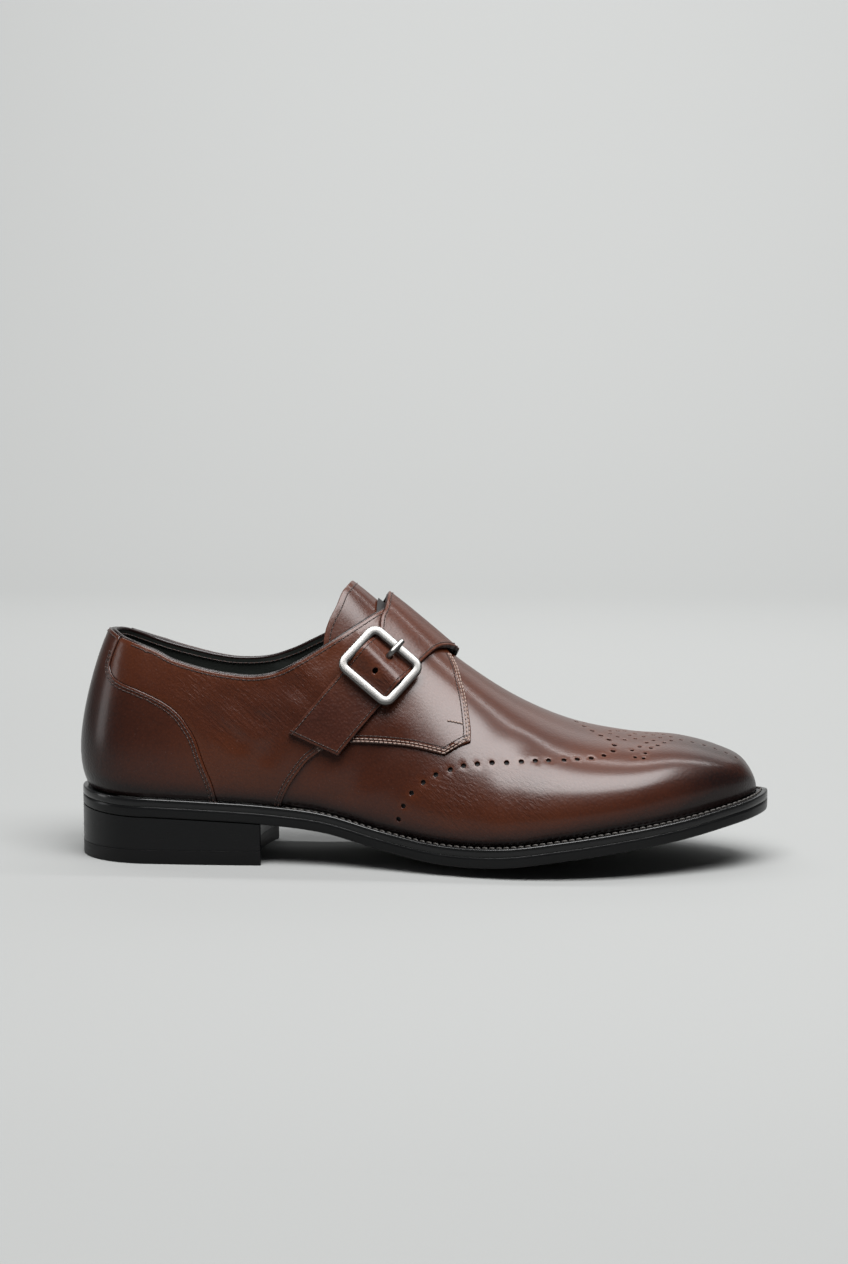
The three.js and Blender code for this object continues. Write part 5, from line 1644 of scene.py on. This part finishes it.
def welt_stitches():
    s = np.linspace(2.3, TIP - 0.02, 400)
    rows = []
    for side, xy in zip((-1, 1), both_edges(s, np.full_like(s, WELT_ROW))):
        line = np.column_stack([xy, underside(s) + STACK - 0.16])
        length = run_length(line)
        count = int(length[-1] / WELT_PITCH)
        places = at_length(line, length, (np.arange(count) + 0.5) * length[-1] / count)
        along = np.gradient(places, axis=0)
        along /= np.linalg.norm(along, axis=-1, keepdims=True)
        up = np.cross(along, np.cross([0, 0, 1.0], along))
        up /= np.linalg.norm(up, axis=-1, keepdims=True)
        rows.append(stitch_parts(places, along, up, WELT_STITCH, 0.42, sink=0.1, slant=0.22 * side))
    mesh_object("welt_thread", *merge(rows), welt_thread, "sole_black")


welt_stitches()
for bank, material in (("dark", thread_dark), ("light", thread_light)):
    mesh_object("thread_" + bank, *merge(stitch_bank[bank]), material, "leather_brown")
# Painted shade in the needle holes, one mesh for all.
mesh_object("needle_hole_shade", *merge(needle_shade_bank), hole_shade_black, "leather_brown")

# %% [markdown]
# ## Camera and paper sweep
#
# The photograph was matched once with a long lens a little above the shoe and a little towards the
# toe; these are its angles. The background is what a studio uses, a roll of pale paper that runs
# on the floor and curves up behind, so that no horizon shows.

# %% Camera and paper sweep
LENS = 2500 / 1264 * 36
TARGET, AZIMUTH, ELEVATION, DISTANCE = (2.0, 0.0, 99.6), math.radians(4.5), math.radians(6.4), 1.1
FLOOR_FRONT, CURVE_START, CURVE_RADIUS, WALL_TOP, HALF_WIDTH = -2.5, 1.2, 0.9, 3.0, 3

scene = bpy.context.scene
camera_data = bpy.data.cameras.new("camera")
camera_data.lens, camera_data.sensor_width = LENS, 36
camera_data.clip_start, camera_data.clip_end = 0.01, 50
camera = bpy.data.objects.new("camera", camera_data)
scene.collection.objects.link(camera)
level = math.cos(ELEVATION)
away = Vector((math.sin(AZIMUTH) * level, -math.cos(AZIMUTH) * level, math.sin(ELEVATION)))
camera.location = Vector((np.array(TARGET) + SHIFT) * MM) + away * DISTANCE
camera.rotation_euler = (-away).to_track_quat("-Z", "Y").to_euler()
scene.camera = camera
print("camera at", [round(v, 3) for v in camera.location])

# %% Paper sweep
curve = np.linspace(0.1, math.pi / 2, 14)
sweep = [(FLOOR_FRONT, 0.0), (CURVE_START, 0.0)]
sweep += [(CURVE_START + CURVE_RADIUS * math.sin(a), CURVE_RADIUS * (1 - math.cos(a))) for a in curve]
sweep += [(CURVE_START + CURVE_RADIUS, WALL_TOP)]
floor_mesh = bpy.data.meshes.new("floor")
floor_mesh.from_pydata([(x, y, z) for y, z in sweep for x in (-HALF_WIDTH, HALF_WIDTH)], [],
                       [(2 * i, 2 * i + 1, 2 * i + 3, 2 * i + 2) for i in range(len(sweep) - 1)])
floor_mesh.shade_smooth()
floor = bpy.data.objects.new("floor", floor_mesh)
scene.collection.objects.link(floor)
floor_paper = plain("floor_paper", (0.194, 0.1975, 0.195), 0.85, specular=0.06, bump=0.0, scale=800)
floor_mesh.materials.append(floor_paper)
print("rows in the sweep", len(sweep))

# %% [markdown]
# ## Lights
#
# Leather shows its form by its highlights, so the lights are large and soft. One overhead box in
# front draws the long highlights on the vamp, a narrow one on the left lights the heel, a weak one
# from behind gives the upper edge a rim, and one more lights the paper. A single bright world
# would be simpler, but it would lay a grey film over the dark sides; it stays very weak.

# %% Lights
def softbox(name, place, aim, size, power):
    light = bpy.data.lights.new(name, "AREA")
    light.shape = "RECTANGLE"
    light.size, light.size_y = size
    light.energy = power
    obj = bpy.data.objects.new(name, light)
    scene.collection.objects.link(obj)
    obj.location = place
    obj.rotation_euler = (Vector(aim) - Vector(place)).to_track_quat("-Z", "Y").to_euler()
    print(name, power, "W")


softbox("key_overhead", (0.13, -0.47, 1.10), (0, 0, 0.05), (1.2, 0.7), 48)
softbox("side_left", (-1.3, -0.15, 0.2), (0, 0, 0.06), (0.35, 0.8), 2.9)
softbox("back_top", (0.15, 0.95, 0.8), (0, 0, 0.05), (1.4, 0.4), 2.3)
softbox("back_wall", (0.0, 0.6, 1.7), (0, 2.0, 0.85), (2.8, 0.5), 132)
world = bpy.data.worlds.new("studio")
world.use_nodes = True
background = world.node_tree.nodes["Background"].inputs
background["Color"].default_value = (1, 1, 1, 1)
background["Strength"].default_value = 0.10
scene.world = world
scene.view_settings.view_transform = "Standard"
